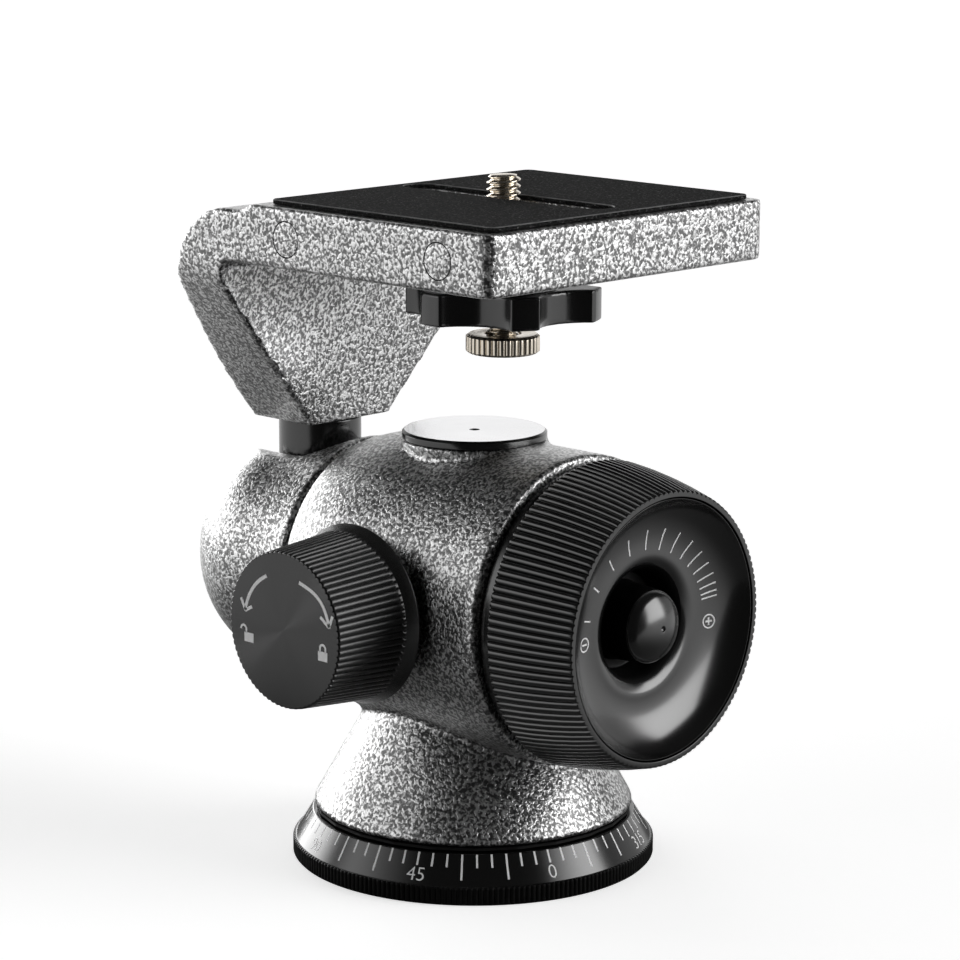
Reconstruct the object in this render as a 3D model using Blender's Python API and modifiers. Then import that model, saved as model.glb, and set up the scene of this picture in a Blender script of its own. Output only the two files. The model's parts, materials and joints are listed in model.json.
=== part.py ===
"""Ball head with an offset camera platform, a tilt-lock knob and a pan-lock knob.

The base stands at z = 0 and the head pans about Z. The ball and its cap lie on -X, the
tilt-lock knob on +X and the pan-lock knob on -Y. All sizes are in metres.
"""

import math

import bmesh
import bpy
from mathutils import Euler, Matrix, Vector

# Fits and cutters
CLEARANCE = 0.0003
SEAT = 0.0001
OVERRUN = 0.004
MERGE = 0.00001

# Facets round a full turn
LARGE_FACETS = 40
MEDIUM_FACETS = 32
HIDDEN_FACETS = 24
SMALL_FACETS = 12
FINE_FACETS = 10
BALL_STEPS = 8
ARC_STEPS = 6
CURVE_STEPS = 5
CORNER_STEPS = 3

# Tripod socket, held in the middle of the base
SOCKET_RADIUS = 0.0040
SOCKET_WALL = 0.0030
SOCKET_FLANGE_WIDTH = 0.0025
SOCKET_FLANGE_THICKNESS = 0.0023
SOCKET_NECK_WALL = 0.0013
SOCKET_NECK_LENGTH = 0.0044

# Spindle that the head pans on, and the ring that keeps the head on it
NECK_RADIUS = 0.0160
DISC_RADIUS = 0.0220
DISC_THICKNESS = 0.0045
DISC_CHAMFER = 0.0005
SPINDLE_BORE_ROOF = 0.0030
RETAINER_LIP = 0.0015
RETAINER_HEIGHT = 0.0049
RETAINER_CHAMFER = 0.0004

# Base plate with its ridged edge and its sloping scale
FOOT_WALL = 0.0075
SCALE_STEP = 0.0002
SCALE_RUN = 0.0033
EDGE_STEP = 0.0006
EDGE_HEIGHT = 0.0035
EDGE_CHAMFER = 0.0005
BASE_HEIGHT = 0.0089
SCALE_TOP_CHAMFER = 0.0003
SPINDLE_RECESS = 0.0010
RELIEF_DEPTH = 0.0005
RELIEF_RIM = 0.0025
GLIDE_SPACE = 0.0011
GLIDE_INSET = 0.0007

# Screws that hold the spindle to the base
BASE_SCREW_COUNT = 3
BASE_SCREW_TURN = math.radians(20)
BASE_SCREW_RADIUS = 0.0015
BASE_SCREW_HEAD_RADIUS = 0.0028
BASE_SCREW_HEAD_HEIGHT = 0.0024
BASE_SCREW_HEAD_SINK = 0.0006
BASE_SCREW_GRIP = 0.0056

# Ball, its cap and the cup that presses on it
TILT_HEIGHT = 0.0526
BALL_OFFSET = 0.04286
BALL_RADIUS = 0.0200
BALL_FLAT_RIM = 0.0031
CAP_WALL = 0.0039
SPOT_FACE_WALL = 0.0006
SPOT_FACE_RIM = 0.0043
SLOT_CLEARANCE = 0.0005
CAP_NECK_WALL = 0.0022
CAP_NECK_PAST_CUP = 0.0010
CAP_CORNER = 0.0004
CUP_LIP_SETBACK = 0.0007
CUP_FLOOR = 0.00386
SNAP_RING_THICKNESS = 0.0010
SNAP_RING_SETBACK = 0.0030
SNAP_RING_BITE = 0.0006
SNAP_RING_REACH = 0.0008
SNAP_RING_GAP = 0.0050

# Housing
FACE_OFFSET = 0.01626
FACE_GAP = 0.0011
MOUTH_WALL = 0.0026
SHOULDER_DROP = 0.0039
SHOULDER_START = 0.0050
HOUSING_END = 0.0280
FLANGE_LIP = 0.0001
FLANGE_LIP_LENGTH = 0.0015
FLANGE_CORNER = 0.0005
FOOT_CORNER = 0.0006
CONE_SLOPE_SHARE = 0.557
CONE_TOP_SHARE = 0.60
BOSS_RADIUS = 0.0141
BOSS_CORNER = 0.0004
BOSS_FLARE = 0.0018
BOSS_FLARE_HEIGHT = 0.0030
BOSS_ROOT = 0.0120
PAN_BOSS_RADIUS = 0.0130
PAN_BOSS_CORNER = 0.0005
PAN_BOSS_PROUD = 0.0007

# Disc on top of the housing
TOP_DISC_RADIUS = 0.01384
TOP_DISC_THICKNESS = 0.00155
TOP_DISC_CHAMFER = 0.0005
TOP_DISC_DISH = 0.0002
TOP_DISC_DIMPLE = 0.0008
TOP_DISC_SINK = 0.00025
TOP_SPIGOT_RADIUS = 0.0050
TOP_SPIGOT_LENGTH = 0.0045

# Piston, its screw and the bush that the screw turns in
TILT_TRAVEL = 0.001125
PISTON_RADIUS = 0.0115
PISTON_CHAMFER = 0.0008
TILT_SCREW_RADIUS = 0.0050
TILT_SCREW_TIP = 0.0012
BUSH_RADIUS = 0.0180
BUSH_LENGTH = 0.0177
BUSH_COLLAR_RADIUS = 0.0275
BUSH_COLLAR_LENGTH = 0.0024

# Tilt-lock knob and its dial
TILT_KNOB_RADIUS = 0.0290
TILT_KNOB_RIM_RADIUS = 0.0255
TILT_KNOB_LENGTH = 0.0179
TILT_KNOB_RIDGES = 120
TILT_KNOB_GROOVE = 0.0006
TILT_KNOB_PLAIN = 0.0012
TILT_KNOB_WEB = 0.0043
DIAL_RADIUS = 0.0242
DIAL_EDGE = 0.0009
DIAL_WALL = 0.0012
DIAL_SLOPE_DEPTH = 0.0053
DIAL_FLOOR_RADIUS = 0.0175
DIAL_STEP_RADIUS = 0.0134
DIAL_STEP_HEIGHT = 0.0003
MOAT_OUTER_RADIUS = 0.0105
MOAT_DEPTH = 0.0120
DOME_RADIUS = 0.0075
DOME_SET_BACK = 0.0010
DOME_HEIGHT = 0.0030
DOME_DIMPLE = 0.0006

# Pan-lock knob, its screw, and the wedge and pin that it pushes
PAN_SCREW_RADIUS = 0.0030
PAN_WEDGE_LENGTH = 0.0068
PAN_WEDGE_TIP_RADIUS = 0.0006
PAN_PIN_RADIUS = 0.0025
PAN_PIN_TIP_RADIUS = 0.0004
PAN_PIN_WALL = 0.0009
PAN_KNOB_GAP = 0.0004
PAN_KNOB_RADIUS = 0.0145
PAN_KNOB_REAR_RADIUS = 0.0159
PAN_COLLAR_RADIUS = 0.0170
PAN_KNOB_LENGTH = 0.0192
PAN_COLLAR_LENGTH = 0.0036
PAN_COLLAR_CHAMFER = 0.0010
PAN_KNOB_RIDGES = 75
PAN_KNOB_GROOVE = 0.0005
PAN_KNOB_PLAIN = 0.0006
PAN_KNOB_HOLD = 0.0100

# Stem between the ball and the bracket
STEM_RADIUS = 0.0082
STEM_LENGTH = 0.0111
STEM_CHAMFER = 0.0003
STUD_RADIUS = 0.0030
STUD_IN_BALL = 0.0140
STUD_IN_BRACKET = 0.0150
STUD_END_ROOM = 0.0006

# Bracket, measured from the stem's axis and from the arm's lower end
ARM_OUT = 0.00804
ARM_IN = 0.00876
ARM_HEIGHT = 0.0356
INNER_LEAN = 0.0037
INNER_FILLET = 0.0025
OUTER_TOP_LEAN = 0.0091
OUTER_CURVE_SHARE = 1.8
SHOULDER_RUN = 0.0131
SHOULDER_RISE = 0.0109
ARM_TOP_FLAT = 0.0044
TOP_STEP_RUN = 0.0028
TOP_STEP_DROP = 0.0014
PLATFORM_REACH = 0.08246
PLATFORM_THICKNESS = 0.0113
PLATFORM_HALF_WIDTH = 0.0374
PLATFORM_CORNER = 0.0028
ARM_HALF_WIDTH = 0.0105
ARM_SPREAD = 0.0225
ARM_SPREAD_HEIGHT = 0.0271
ARM_BLEND_HEIGHT = 0.0077
BRACKET_EDGE = 0.0009
PLUG_RADIUS = 0.0033
PLUG_LENGTH = 0.0060
PLUG_FROM_STEM = 0.0310
PLUG_FROM_FRONT = 0.01246

# Pad and the slot for the camera screw
PAD_THICKNESS = 0.0009
PAD_FRONT_MARGIN = 0.0018
PAD_BACK_MARGIN = 0.0024
PAD_SIDE_MARGIN = 0.0028
PAD_CORNER = 0.0015
CAMERA_SLOT_START = 0.02536
CAMERA_SLOT_MARGIN = 0.0061
PAD_SLOT_MARGIN = 0.0001

# Camera screw, its knurled knob, the washer and the star nut
CAMERA_SCREW_RADIUS = 0.003175
CAMERA_SCREW_FIT = 0.000325
CAMERA_SCREW_PLACE = 0.05016
CAMERA_SCREW_STANDS_OUT = 0.0039
CAMERA_SCREW_CHAMFER = 0.0006
SCREW_KNOB_RADIUS = 0.0070
SCREW_KNOB_HEIGHT = 0.00365
SCREW_KNOB_RIDGES = 34
SCREW_KNOB_GROOVE = 0.00035
SCREW_KNOB_CHAMFER = 0.0004
SCREW_KNOB_DROP = 0.01355
WASHER_RADIUS = 0.0095
WASHER_THICKNESS = 0.0008
NUT_HUB_RADIUS = 0.0100
NUT_HUB_HEIGHT = 0.0028
NUT_RADIUS = 0.0186
NUT_THICKNESS = 0.0062
NUT_LOBES = 6
NUT_LOBE_HALF_WIDTH = 0.00265
NUT_WAIST_RADIUS = 0.0142
NUT_TURN = math.radians(-33.4)
NUT_EDGE = 0.0010

# Radii that follow from what fits in them
SOCKET_BODY_RADIUS = SOCKET_RADIUS + SOCKET_WALL
SOCKET_FLANGE_RADIUS = SOCKET_BODY_RADIUS + SOCKET_FLANGE_WIDTH
SOCKET_NECK_RADIUS = SOCKET_RADIUS + SOCKET_NECK_WALL
DISC_BORE = DISC_RADIUS + CLEARANCE
RETAINER_BORE = DISC_BORE + RETAINER_LIP
FOOT_RADIUS = RETAINER_BORE + FOOT_WALL
SCALE_TOP_RADIUS = FOOT_RADIUS - SCALE_STEP
SCALE_BOTTOM_RADIUS = SCALE_TOP_RADIUS + SCALE_RUN
BASE_RADIUS = SCALE_BOTTOM_RADIUS + EDGE_STEP
BASE_SCREW_CIRCLE = (SOCKET_FLANGE_RADIUS + NECK_RADIUS) / 2
CAP_BORE = BALL_RADIUS + CLEARANCE
CAP_RADIUS = CAP_BORE + CAP_WALL
CAP_NECK_RADIUS = CAP_BORE + CAP_NECK_WALL
MOUTH_RADIUS = CAP_NECK_RADIUS + CLEARANCE
SHOULDER_RADIUS = MOUTH_RADIUS + MOUTH_WALL
BARREL_RADIUS = SHOULDER_RADIUS + SHOULDER_DROP
CAP_FACE_RADIUS = SHOULDER_RADIUS - SCALE_STEP
SLOT_HALF_WIDTH = STEM_RADIUS + SLOT_CLEARANCE
BALL_FLAT_RADIUS = STEM_RADIUS + BALL_FLAT_RIM
BALL_FLAT_HEIGHT = math.sqrt(BALL_RADIUS**2 - BALL_FLAT_RADIUS**2)
PISTON_BORE = PISTON_RADIUS + CLEARANCE
PAN_PIN_BORE = PAN_PIN_RADIUS + CLEARANCE
PAN_PIN_PLACE = PISTON_BORE + PAN_PIN_WALL + PAN_PIN_BORE
CAMERA_SLOT_HALF_WIDTH = CAMERA_SCREW_RADIUS + CAMERA_SCREW_FIT

# Heights that follow, from the base up
SPINDLE_BOTTOM = BASE_HEIGHT - SPINDLE_RECESS + CLEARANCE
HOUSING_BOTTOM = BASE_HEIGHT + GLIDE_SPACE
RETAINER_BOTTOM = HOUSING_BOTTOM + CLEARANCE
RETAINER_TOP = RETAINER_BOTTOM + RETAINER_HEIGHT
DISC_BOTTOM = RETAINER_TOP + CLEARANCE
DISC_TOP = DISC_BOTTOM + DISC_THICKNESS
CAVITY_TOP = DISC_TOP + CLEARANCE
TOP_DISC_SEAT = TILT_HEIGHT + BARREL_RADIUS - TOP_DISC_SINK
TOP_DISC_BOTTOM = TOP_DISC_SEAT + SEAT
STEM_BOTTOM = TILT_HEIGHT + BALL_FLAT_HEIGHT + SEAT
STEM_TOP = STEM_BOTTOM + STEM_LENGTH
BRACKET_BOTTOM = STEM_TOP + SEAT
PLATFORM_UNDERSIDE = BRACKET_BOTTOM + ARM_HEIGHT
PLATFORM_TOP = PLATFORM_UNDERSIDE + PLATFORM_THICKNESS
PAD_BOTTOM = PLATFORM_TOP + SEAT
PAD_TOP = PAD_BOTTOM + PAD_THICKNESS
CAMERA_SCREW_TOP = PAD_TOP + CAMERA_SCREW_STANDS_OUT
WASHER_TOP = PLATFORM_UNDERSIDE - CLEARANCE
WASHER_BOTTOM = WASHER_TOP - WASHER_THICKNESS
NUT_HUB_TOP = WASHER_BOTTOM - CLEARANCE
NUT_TOP = NUT_HUB_TOP - NUT_HUB_HEIGHT
NUT_BOTTOM = NUT_TOP - NUT_THICKNESS
SCREW_KNOB_TOP = PLATFORM_UNDERSIDE - SCREW_KNOB_DROP
SCREW_KNOB_BOTTOM = SCREW_KNOB_TOP - SCREW_KNOB_HEIGHT

# Places along X that follow, from the ball towards the tilt-lock knob
BALL_X = -BALL_OFFSET
HOUSING_FACE_X = BALL_X + FACE_OFFSET
CAP_FACE_X = HOUSING_FACE_X - FACE_GAP
CUP_LIP_X = BALL_X + SLOT_HALF_WIDTH + CUP_LIP_SETBACK
CUP_REAR_X = BALL_X + BALL_RADIUS + CUP_FLOOR
CAP_NECK_END_X = CUP_REAR_X - CAP_NECK_PAST_CUP
MOUTH_FLOOR_X = CUP_REAR_X + TILT_TRAVEL + CLEARANCE
SNAP_RING_X = HOUSING_FACE_X + SNAP_RING_SETBACK
BUSH_INNER_X = HOUSING_END + CLEARANCE - BUSH_LENGTH
PISTON_LEFT_X = CUP_REAR_X + CLEARANCE
PISTON_RIGHT_X = BUSH_INNER_X - TILT_TRAVEL - CLEARANCE
COLLAR_LEFT_X = HOUSING_END + CLEARANCE
COLLAR_RIGHT_X = COLLAR_LEFT_X + BUSH_COLLAR_LENGTH
TILT_KNOB_REAR_X = COLLAR_RIGHT_X + CLEARANCE
TILT_KNOB_FRONT_X = TILT_KNOB_REAR_X + TILT_KNOB_LENGTH
TILT_WEB_X = TILT_KNOB_REAR_X + TILT_KNOB_WEB

# Places along -Y that follow, from the pan axis towards the pan-lock knob
PAN_BOSS_END = BARREL_RADIUS + PAN_BOSS_PROUD
PAN_KNOB_REAR = PAN_BOSS_END + PAN_KNOB_GAP
PAN_KNOB_FRONT = PAN_KNOB_REAR + PAN_KNOB_LENGTH
PAN_WEDGE_TIP = PAN_PIN_PLACE - PAN_PIN_TIP_RADIUS
PAN_WEDGE_SHOULDER = PAN_WEDGE_TIP + PAN_SCREW_RADIUS - PAN_WEDGE_TIP_RADIUS
PAN_WEDGE_REAR = PAN_WEDGE_SHOULDER + PAN_WEDGE_LENGTH
PAN_SCREW_TIP = PAN_WEDGE_REAR + SEAT

# Turns that point a turned piece's own Z along a world axis
ALONG_Z = Euler((0, 0, 0))
ALONG_X = Euler((0, math.radians(90), 0))
ALONG_MINUS_Y = Euler((math.radians(90), 0, 0))


def clear_scene():
    for obj in list(bpy.data.objects):
        bpy.data.objects.remove(obj, do_unlink=True)


def new_collection(name):
    made = bpy.data.collections.new(name)
    bpy.context.scene.collection.children.link(made)
    return made


clear_scene()
PARTS = new_collection("ball_head")
CUTTERS = new_collection("ball_head_cutters")
CUTTERS.hide_render = True


def new_material(name, colour, roughness, metallic):
    made = bpy.data.materials.new(name)
    made.use_nodes = True
    shader = made.node_tree.nodes["Principled BSDF"]
    shader.inputs["Base Color"].default_value = (*colour, 1)
    shader.inputs["Roughness"].default_value = roughness
    shader.inputs["Metallic"].default_value = metallic
    made.diffuse_color = (*colour, 1)
    return made


HAMMERTONE = new_material("hammertone", (0.40, 0.40, 0.42), 0.35, 0.8)
BLACK_ANODISED = new_material("black_anodised", (0.030, 0.032, 0.032), 0.35, 0.6)
GLOSS_BLACK = new_material("gloss_black", (0.015, 0.015, 0.016), 0.15, 0.0)
TURNED_METAL = new_material("turned_metal", (0.62, 0.62, 0.63), 0.25, 1.0)
NICKEL = new_material("nickel", (0.70, 0.66, 0.60), 0.20, 1.0)
STEEL = new_material("steel", (0.50, 0.50, 0.52), 0.30, 1.0)
BRASS = new_material("brass", (0.70, 0.52, 0.25), 0.35, 1.0)
RUBBER = new_material("rubber", (0.020, 0.020, 0.022), 0.80, 0.0)
NYLON = new_material("nylon", (0.045, 0.045, 0.045), 0.55, 0.0)


def add_object(name, data, home):
    obj = bpy.data.objects.new(name, data)
    home.objects.link(obj)
    if home is CUTTERS:
        obj.hide_render = True
        obj.display_type = "WIRE"
    return obj


def shade_smooth(data):
    data.shade_smooth()
    data.set_sharp_from_angle(angle=math.radians(32))


def object_from_bmesh(name, shape, home):
    bmesh.ops.recalc_face_normals(shape, faces=shape.faces)
    data = bpy.data.meshes.new(name)
    shape.to_mesh(data)
    shape.free()
    shade_smooth(data)
    return add_object(name, data, home)


def finish(obj, material):
    obj.data.materials.append(material)
    return obj


def turned(name, profile, facets, closed=False, place=(0, 0, 0), turn=ALONG_Z, home=None):
    """Turns (radius, height) points about the piece's own Z, outer side from top to bottom."""
    data = bpy.data.meshes.new(name)
    points = [(radius, 0, height) for radius, height in profile]
    edges = [(index, index + 1) for index in range(len(points) - 1)]
    if closed:
        edges.append((len(points) - 1, 0))
    data.from_pydata(points, edges, [])
    obj = add_object(name, data, home or PARTS)
    obj.location = place
    obj.rotation_euler = turn
    screw = obj.modifiers.new("turn", "SCREW")
    screw.axis = "Z"
    screw.steps = facets
    screw.render_steps = facets
    screw.use_merge_vertices = True
    screw.merge_threshold = MERGE
    screw.use_smooth_shade = True
    return obj


def ridged(name, stations, ridges, place, turn):
    """A turned solid whose outer side is ridged.

    Each station is (radius, height, groove depth), from the top face to the bottom face.
    """
    steps = 2 * ridges
    shape = bmesh.new()
    points = [shape.verts.new((radius, 0, height)) for radius, height, _ in stations]
    edges = [shape.edges.new(pair) for pair in zip(points, points[1:])]
    bmesh.ops.spin(
        shape,
        geom=points + edges,
        cent=(0, 0, 0),
        axis=(0, 0, 1),
        angle=math.tau,
        steps=steps,
        use_merge=True,
    )
    bmesh.ops.remove_doubles(shape, verts=shape.verts, dist=MERGE)
    bmesh.ops.holes_fill(shape, edges=shape.edges)
    depths = {(round(radius, 6), round(height, 6)): depth for radius, height, depth in stations}
    for point in shape.verts:
        reach = math.hypot(point.co.x, point.co.y)
        depth = depths.get((round(reach, 6), round(point.co.z, 6)), 0)
        step = round(math.atan2(point.co.y, point.co.x) / math.tau * steps)
        if depth and step % 2:
            point.co.xy *= (reach - depth) / reach
    obj = object_from_bmesh(name, shape, PARTS)
    obj.location = place
    obj.rotation_euler = turn
    return obj


def prism(name, outline, low, high, axes="XY", home=None):
    """A flat outline in the plane of two axes, drawn out from low to high along the third."""
    spots = {
        "XY": lambda a, b, c: (a, b, c),
        "XZ": lambda a, b, c: (a, c, b),
        "YZ": lambda a, b, c: (c, a, b),
    }[axes]
    shape = bmesh.new()
    face = shape.faces.new([shape.verts.new(spots(a, b, low)) for a, b in outline])
    drawn = bmesh.ops.extrude_face_region(shape, geom=[face])["geom"]
    moved = [part for part in drawn if isinstance(part, bmesh.types.BMVert)]
    bmesh.ops.translate(shape, verts=moved, vec=Vector(spots(0, 0, high - low)))
    return object_from_bmesh(name, shape, home or PARTS)


def arc(centre, radii, start, end, steps):
    """Points on an ellipse's arc, its angles in degrees."""
    turns = [math.radians(start + (end - start) * step / steps) for step in range(steps + 1)]
    return [
        (centre[0] + radii[0] * math.cos(turn), centre[1] + radii[1] * math.sin(turn))
        for turn in turns
    ]


def round_slot(start, end, half_width):
    """The outline of a slot along X with round ends, from one end to the other."""
    radii = (half_width, half_width)
    left = arc((start + half_width, 0), radii, 90, 270, ARC_STEPS)
    right = arc((end - half_width, 0), radii, -90, 90, ARC_STEPS)
    return left + right


def rod(radius, top, bottom, chamfer=0.0):
    """A plain round bar's profile, with chamfered ends if a chamfer is given."""
    if not chamfer:
        return [(0, top), (radius, top), (radius, bottom), (0, bottom)]
    return [
        (0, top),
        (radius - chamfer, top),
        (radius, top - chamfer),
        (radius, bottom + chamfer),
        (radius - chamfer, bottom),
        (0, bottom),
    ]


def boolean(obj, other, operation):
    change = obj.modifiers.new(other.name, "BOOLEAN")
    change.operation = operation
    change.object = other
    return obj


def bore(obj, label, radius, top, bottom, facets=SMALL_FACETS, place=(0, 0, 0), turn=ALONG_Z):
    """Cuts a round hole, between two heights on its own axis."""
    cutter = turned(
        f"{obj.name}_{label}", rod(radius, top, bottom), facets, False, place, turn, CUTTERS
    )
    return boolean(obj, cutter, "DIFFERENCE")


def round_edges(obj, width, segments, least_angle):
    bevel = obj.modifiers.new("edges", "BEVEL")
    bevel.width = width
    bevel.segments = segments
    bevel.limit_method = "ANGLE"
    bevel.angle_limit = math.radians(least_angle)
    return obj


def joint_empty(name, place, parent=None):
    """An empty on a joint's axis, which carries the pieces that move about it."""
    empty = bpy.data.objects.new(name, None)
    PARTS.objects.link(empty)
    empty.empty_display_size = CAP_RADIUS
    empty.location = Vector(place)
    empty["world_place"] = tuple(place)
    if parent:
        carry(parent, empty)
    return empty


def carry(parent, *pieces):
    """Parents pieces to an empty and leaves each where it is."""
    back = Matrix.Translation(Vector(parent["world_place"])).inverted()
    for piece in pieces:
        piece.parent = parent
        piece.matrix_parent_inverse = back


BALL_CENTRE = (BALL_X, 0, TILT_HEIGHT)
TILT_CENTRE = (0, 0, TILT_HEIGHT)
CAMERA_SCREW_CENTRE = (BALL_X + CAMERA_SCREW_PLACE, 0, 0)


# Base
def make_base_ring():
    profile = [
        (NECK_RADIUS + CLEARANCE, BASE_HEIGHT),
        (SCALE_TOP_RADIUS - SCALE_TOP_CHAMFER, BASE_HEIGHT),
        (SCALE_TOP_RADIUS, BASE_HEIGHT - SCALE_TOP_CHAMFER),
        (SCALE_BOTTOM_RADIUS, EDGE_HEIGHT),
        (BASE_RADIUS - EDGE_CHAMFER / 2, EDGE_HEIGHT),
        (BASE_RADIUS, EDGE_HEIGHT - EDGE_CHAMFER / 2),
        (BASE_RADIUS, EDGE_CHAMFER),
        (BASE_RADIUS - EDGE_CHAMFER, 0),
        (BASE_RADIUS - RELIEF_RIM, 0),
        (BASE_RADIUS - RELIEF_RIM - RELIEF_DEPTH, RELIEF_DEPTH),
        (NECK_RADIUS + RELIEF_RIM + RELIEF_DEPTH, RELIEF_DEPTH),
        (NECK_RADIUS + RELIEF_RIM, 0),
        (SOCKET_BODY_RADIUS + CLEARANCE, 0),
        (SOCKET_BODY_RADIUS + CLEARANCE, socket_flange_bottom() - CLEARANCE),
        (SOCKET_FLANGE_RADIUS + CLEARANCE, socket_flange_bottom() - CLEARANCE),
        (SOCKET_FLANGE_RADIUS + CLEARANCE, SPINDLE_BOTTOM - CLEARANCE),
        (NECK_RADIUS + CLEARANCE, SPINDLE_BOTTOM - CLEARANCE),
    ]
    ring = turned("base_ring", profile, LARGE_FACETS, closed=True)
    head_floor = BASE_SCREW_HEAD_SINK + BASE_SCREW_HEAD_HEIGHT + CLEARANCE
    stepped_hole = [
        (0, BASE_HEIGHT),
        (BASE_SCREW_RADIUS + CLEARANCE, BASE_HEIGHT),
        (BASE_SCREW_RADIUS + CLEARANCE, head_floor),
        (BASE_SCREW_HEAD_RADIUS + CLEARANCE, head_floor),
        (BASE_SCREW_HEAD_RADIUS + CLEARANCE, -OVERRUN),
        (0, -OVERRUN),
    ]
    for index, place in enumerate(base_screw_places(), 1):
        name = f"base_ring_screw_hole_{index}"
        hole = turned(name, stepped_hole, FINE_FACETS, place=place, home=CUTTERS)
        boolean(ring, hole, "DIFFERENCE")
    return finish(ring, BLACK_ANODISED)


def socket_flange_bottom():
    return SPINDLE_BOTTOM - 2 * CLEARANCE - SOCKET_FLANGE_THICKNESS


def base_screw_places():
    places = []
    for index in range(BASE_SCREW_COUNT):
        turn = BASE_SCREW_TURN + math.tau * index / BASE_SCREW_COUNT
        places.append((BASE_SCREW_CIRCLE * math.cos(turn), BASE_SCREW_CIRCLE * math.sin(turn), 0))
    return places


def make_tripod_socket():
    flange_top = socket_flange_bottom() + SOCKET_FLANGE_THICKNESS
    neck_top = flange_top + SOCKET_NECK_LENGTH
    profile = [
        (SOCKET_RADIUS, neck_top),
        (SOCKET_NECK_RADIUS, neck_top),
        (SOCKET_NECK_RADIUS, flange_top),
        (SOCKET_FLANGE_RADIUS, flange_top),
        (SOCKET_FLANGE_RADIUS, socket_flange_bottom()),
        (SOCKET_BODY_RADIUS, socket_flange_bottom()),
        (SOCKET_BODY_RADIUS, CLEARANCE),
        (SOCKET_RADIUS, CLEARANCE),
    ]
    return finish(turned("tripod_socket", profile, SMALL_FACETS, closed=True), BRASS)


def spindle_bore_top():
    return DISC_TOP - SPINDLE_BORE_ROOF


def make_pan_spindle():
    profile = [
        (0, DISC_TOP),
        (DISC_RADIUS - DISC_CHAMFER, DISC_TOP),
        (DISC_RADIUS, DISC_TOP - DISC_CHAMFER),
        (DISC_RADIUS, DISC_BOTTOM),
        (NECK_RADIUS, DISC_BOTTOM),
        (NECK_RADIUS, SPINDLE_BOTTOM),
        (SOCKET_NECK_RADIUS + CLEARANCE, SPINDLE_BOTTOM),
        (SOCKET_NECK_RADIUS + CLEARANCE, spindle_bore_top()),
        (0, spindle_bore_top()),
    ]
    spindle = turned("pan_spindle", profile, HIDDEN_FACETS)
    for index, place in enumerate(base_screw_places(), 1):
        hole = BASE_SCREW_RADIUS + CLEARANCE
        top = SPINDLE_BOTTOM + BASE_SCREW_GRIP
        bore(spindle, f"hole_{index}", hole, top, BASE_HEIGHT / 2, FINE_FACETS, place)
    return finish(spindle, STEEL)


def make_base_screws():
    top = SPINDLE_BOTTOM + BASE_SCREW_GRIP - CLEARANCE
    head_top = BASE_SCREW_HEAD_SINK + BASE_SCREW_HEAD_HEIGHT
    profile = [
        (0, top),
        (BASE_SCREW_RADIUS, top),
        (BASE_SCREW_RADIUS, head_top),
        (BASE_SCREW_HEAD_RADIUS, head_top),
        (BASE_SCREW_HEAD_RADIUS, BASE_SCREW_HEAD_SINK),
        (0, BASE_SCREW_HEAD_SINK),
    ]
    screws = []
    for index, place in enumerate(base_screw_places(), 1):
        screw = turned(f"base_screw_{index}", profile, FINE_FACETS, place=place)
        screws.append(finish(screw, STEEL))
    return screws


def make_glide_ring():
    inner = RETAINER_BORE + GLIDE_INSET
    outer = SCALE_TOP_RADIUS - GLIDE_INSET
    top = HOUSING_BOTTOM - CLEARANCE
    bottom = BASE_HEIGHT + CLEARANCE
    profile = [(inner, top), (outer, top), (outer, bottom), (inner, bottom)]
    return finish(turned("glide_ring", profile, HIDDEN_FACETS, closed=True), NYLON)


# Housing
def make_housing():
    barrel = turned(
        "housing", barrel_profile(), LARGE_FACETS, place=TILT_CENTRE, turn=ALONG_X
    )
    cone = turned("housing_cone", cone_profile(), LARGE_FACETS, home=CUTTERS)
    top_boss = turned("housing_top_boss", top_boss_profile(), MEDIUM_FACETS, home=CUTTERS)
    pan_boss_profile = [
        (0, PAN_BOSS_END),
        (PAN_BOSS_RADIUS - PAN_BOSS_CORNER, PAN_BOSS_END),
        (PAN_BOSS_RADIUS, PAN_BOSS_END - PAN_BOSS_CORNER),
        (PAN_BOSS_RADIUS, PAN_PIN_PLACE),
        (0, PAN_PIN_PLACE),
    ]
    pan_boss = turned(
        "housing_pan_boss",
        pan_boss_profile,
        MEDIUM_FACETS,
        place=TILT_CENTRE,
        turn=ALONG_MINUS_Y,
        home=CUTTERS,
    )
    for shape in (cone, top_boss, pan_boss):
        boolean(barrel, shape, "UNION")
    cut_foot(barrel)
    cut_tilt_bore(barrel)
    cut_top_seat(barrel)
    cut_pan_bores(barrel)
    return finish(barrel, HAMMERTONE)


def barrel_profile():
    """The barrel's (radius, x) points, from the flange by the knob to the face by the cap."""
    left = HOUSING_FACE_X
    run = left + SHOULDER_START
    shoulder = []
    for step in range(CURVE_STEPS + 1):
        share = step / CURVE_STEPS
        shoulder.append((BARREL_RADIUS - SHOULDER_DROP * share**2, share * run - SHOULDER_START))
    last_radius, _ = shoulder.pop()
    return [
        (0, HOUSING_END),
        (BARREL_RADIUS - FLANGE_LIP - FLANGE_CORNER, HOUSING_END),
        (BARREL_RADIUS - FLANGE_LIP, HOUSING_END - FLANGE_CORNER),
        (BARREL_RADIUS, HOUSING_END - FLANGE_LIP_LENGTH),
        *shoulder,
        (last_radius, left + FLANGE_CORNER),
        (last_radius - FLANGE_CORNER, left),
        (0, left),
    ]


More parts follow.
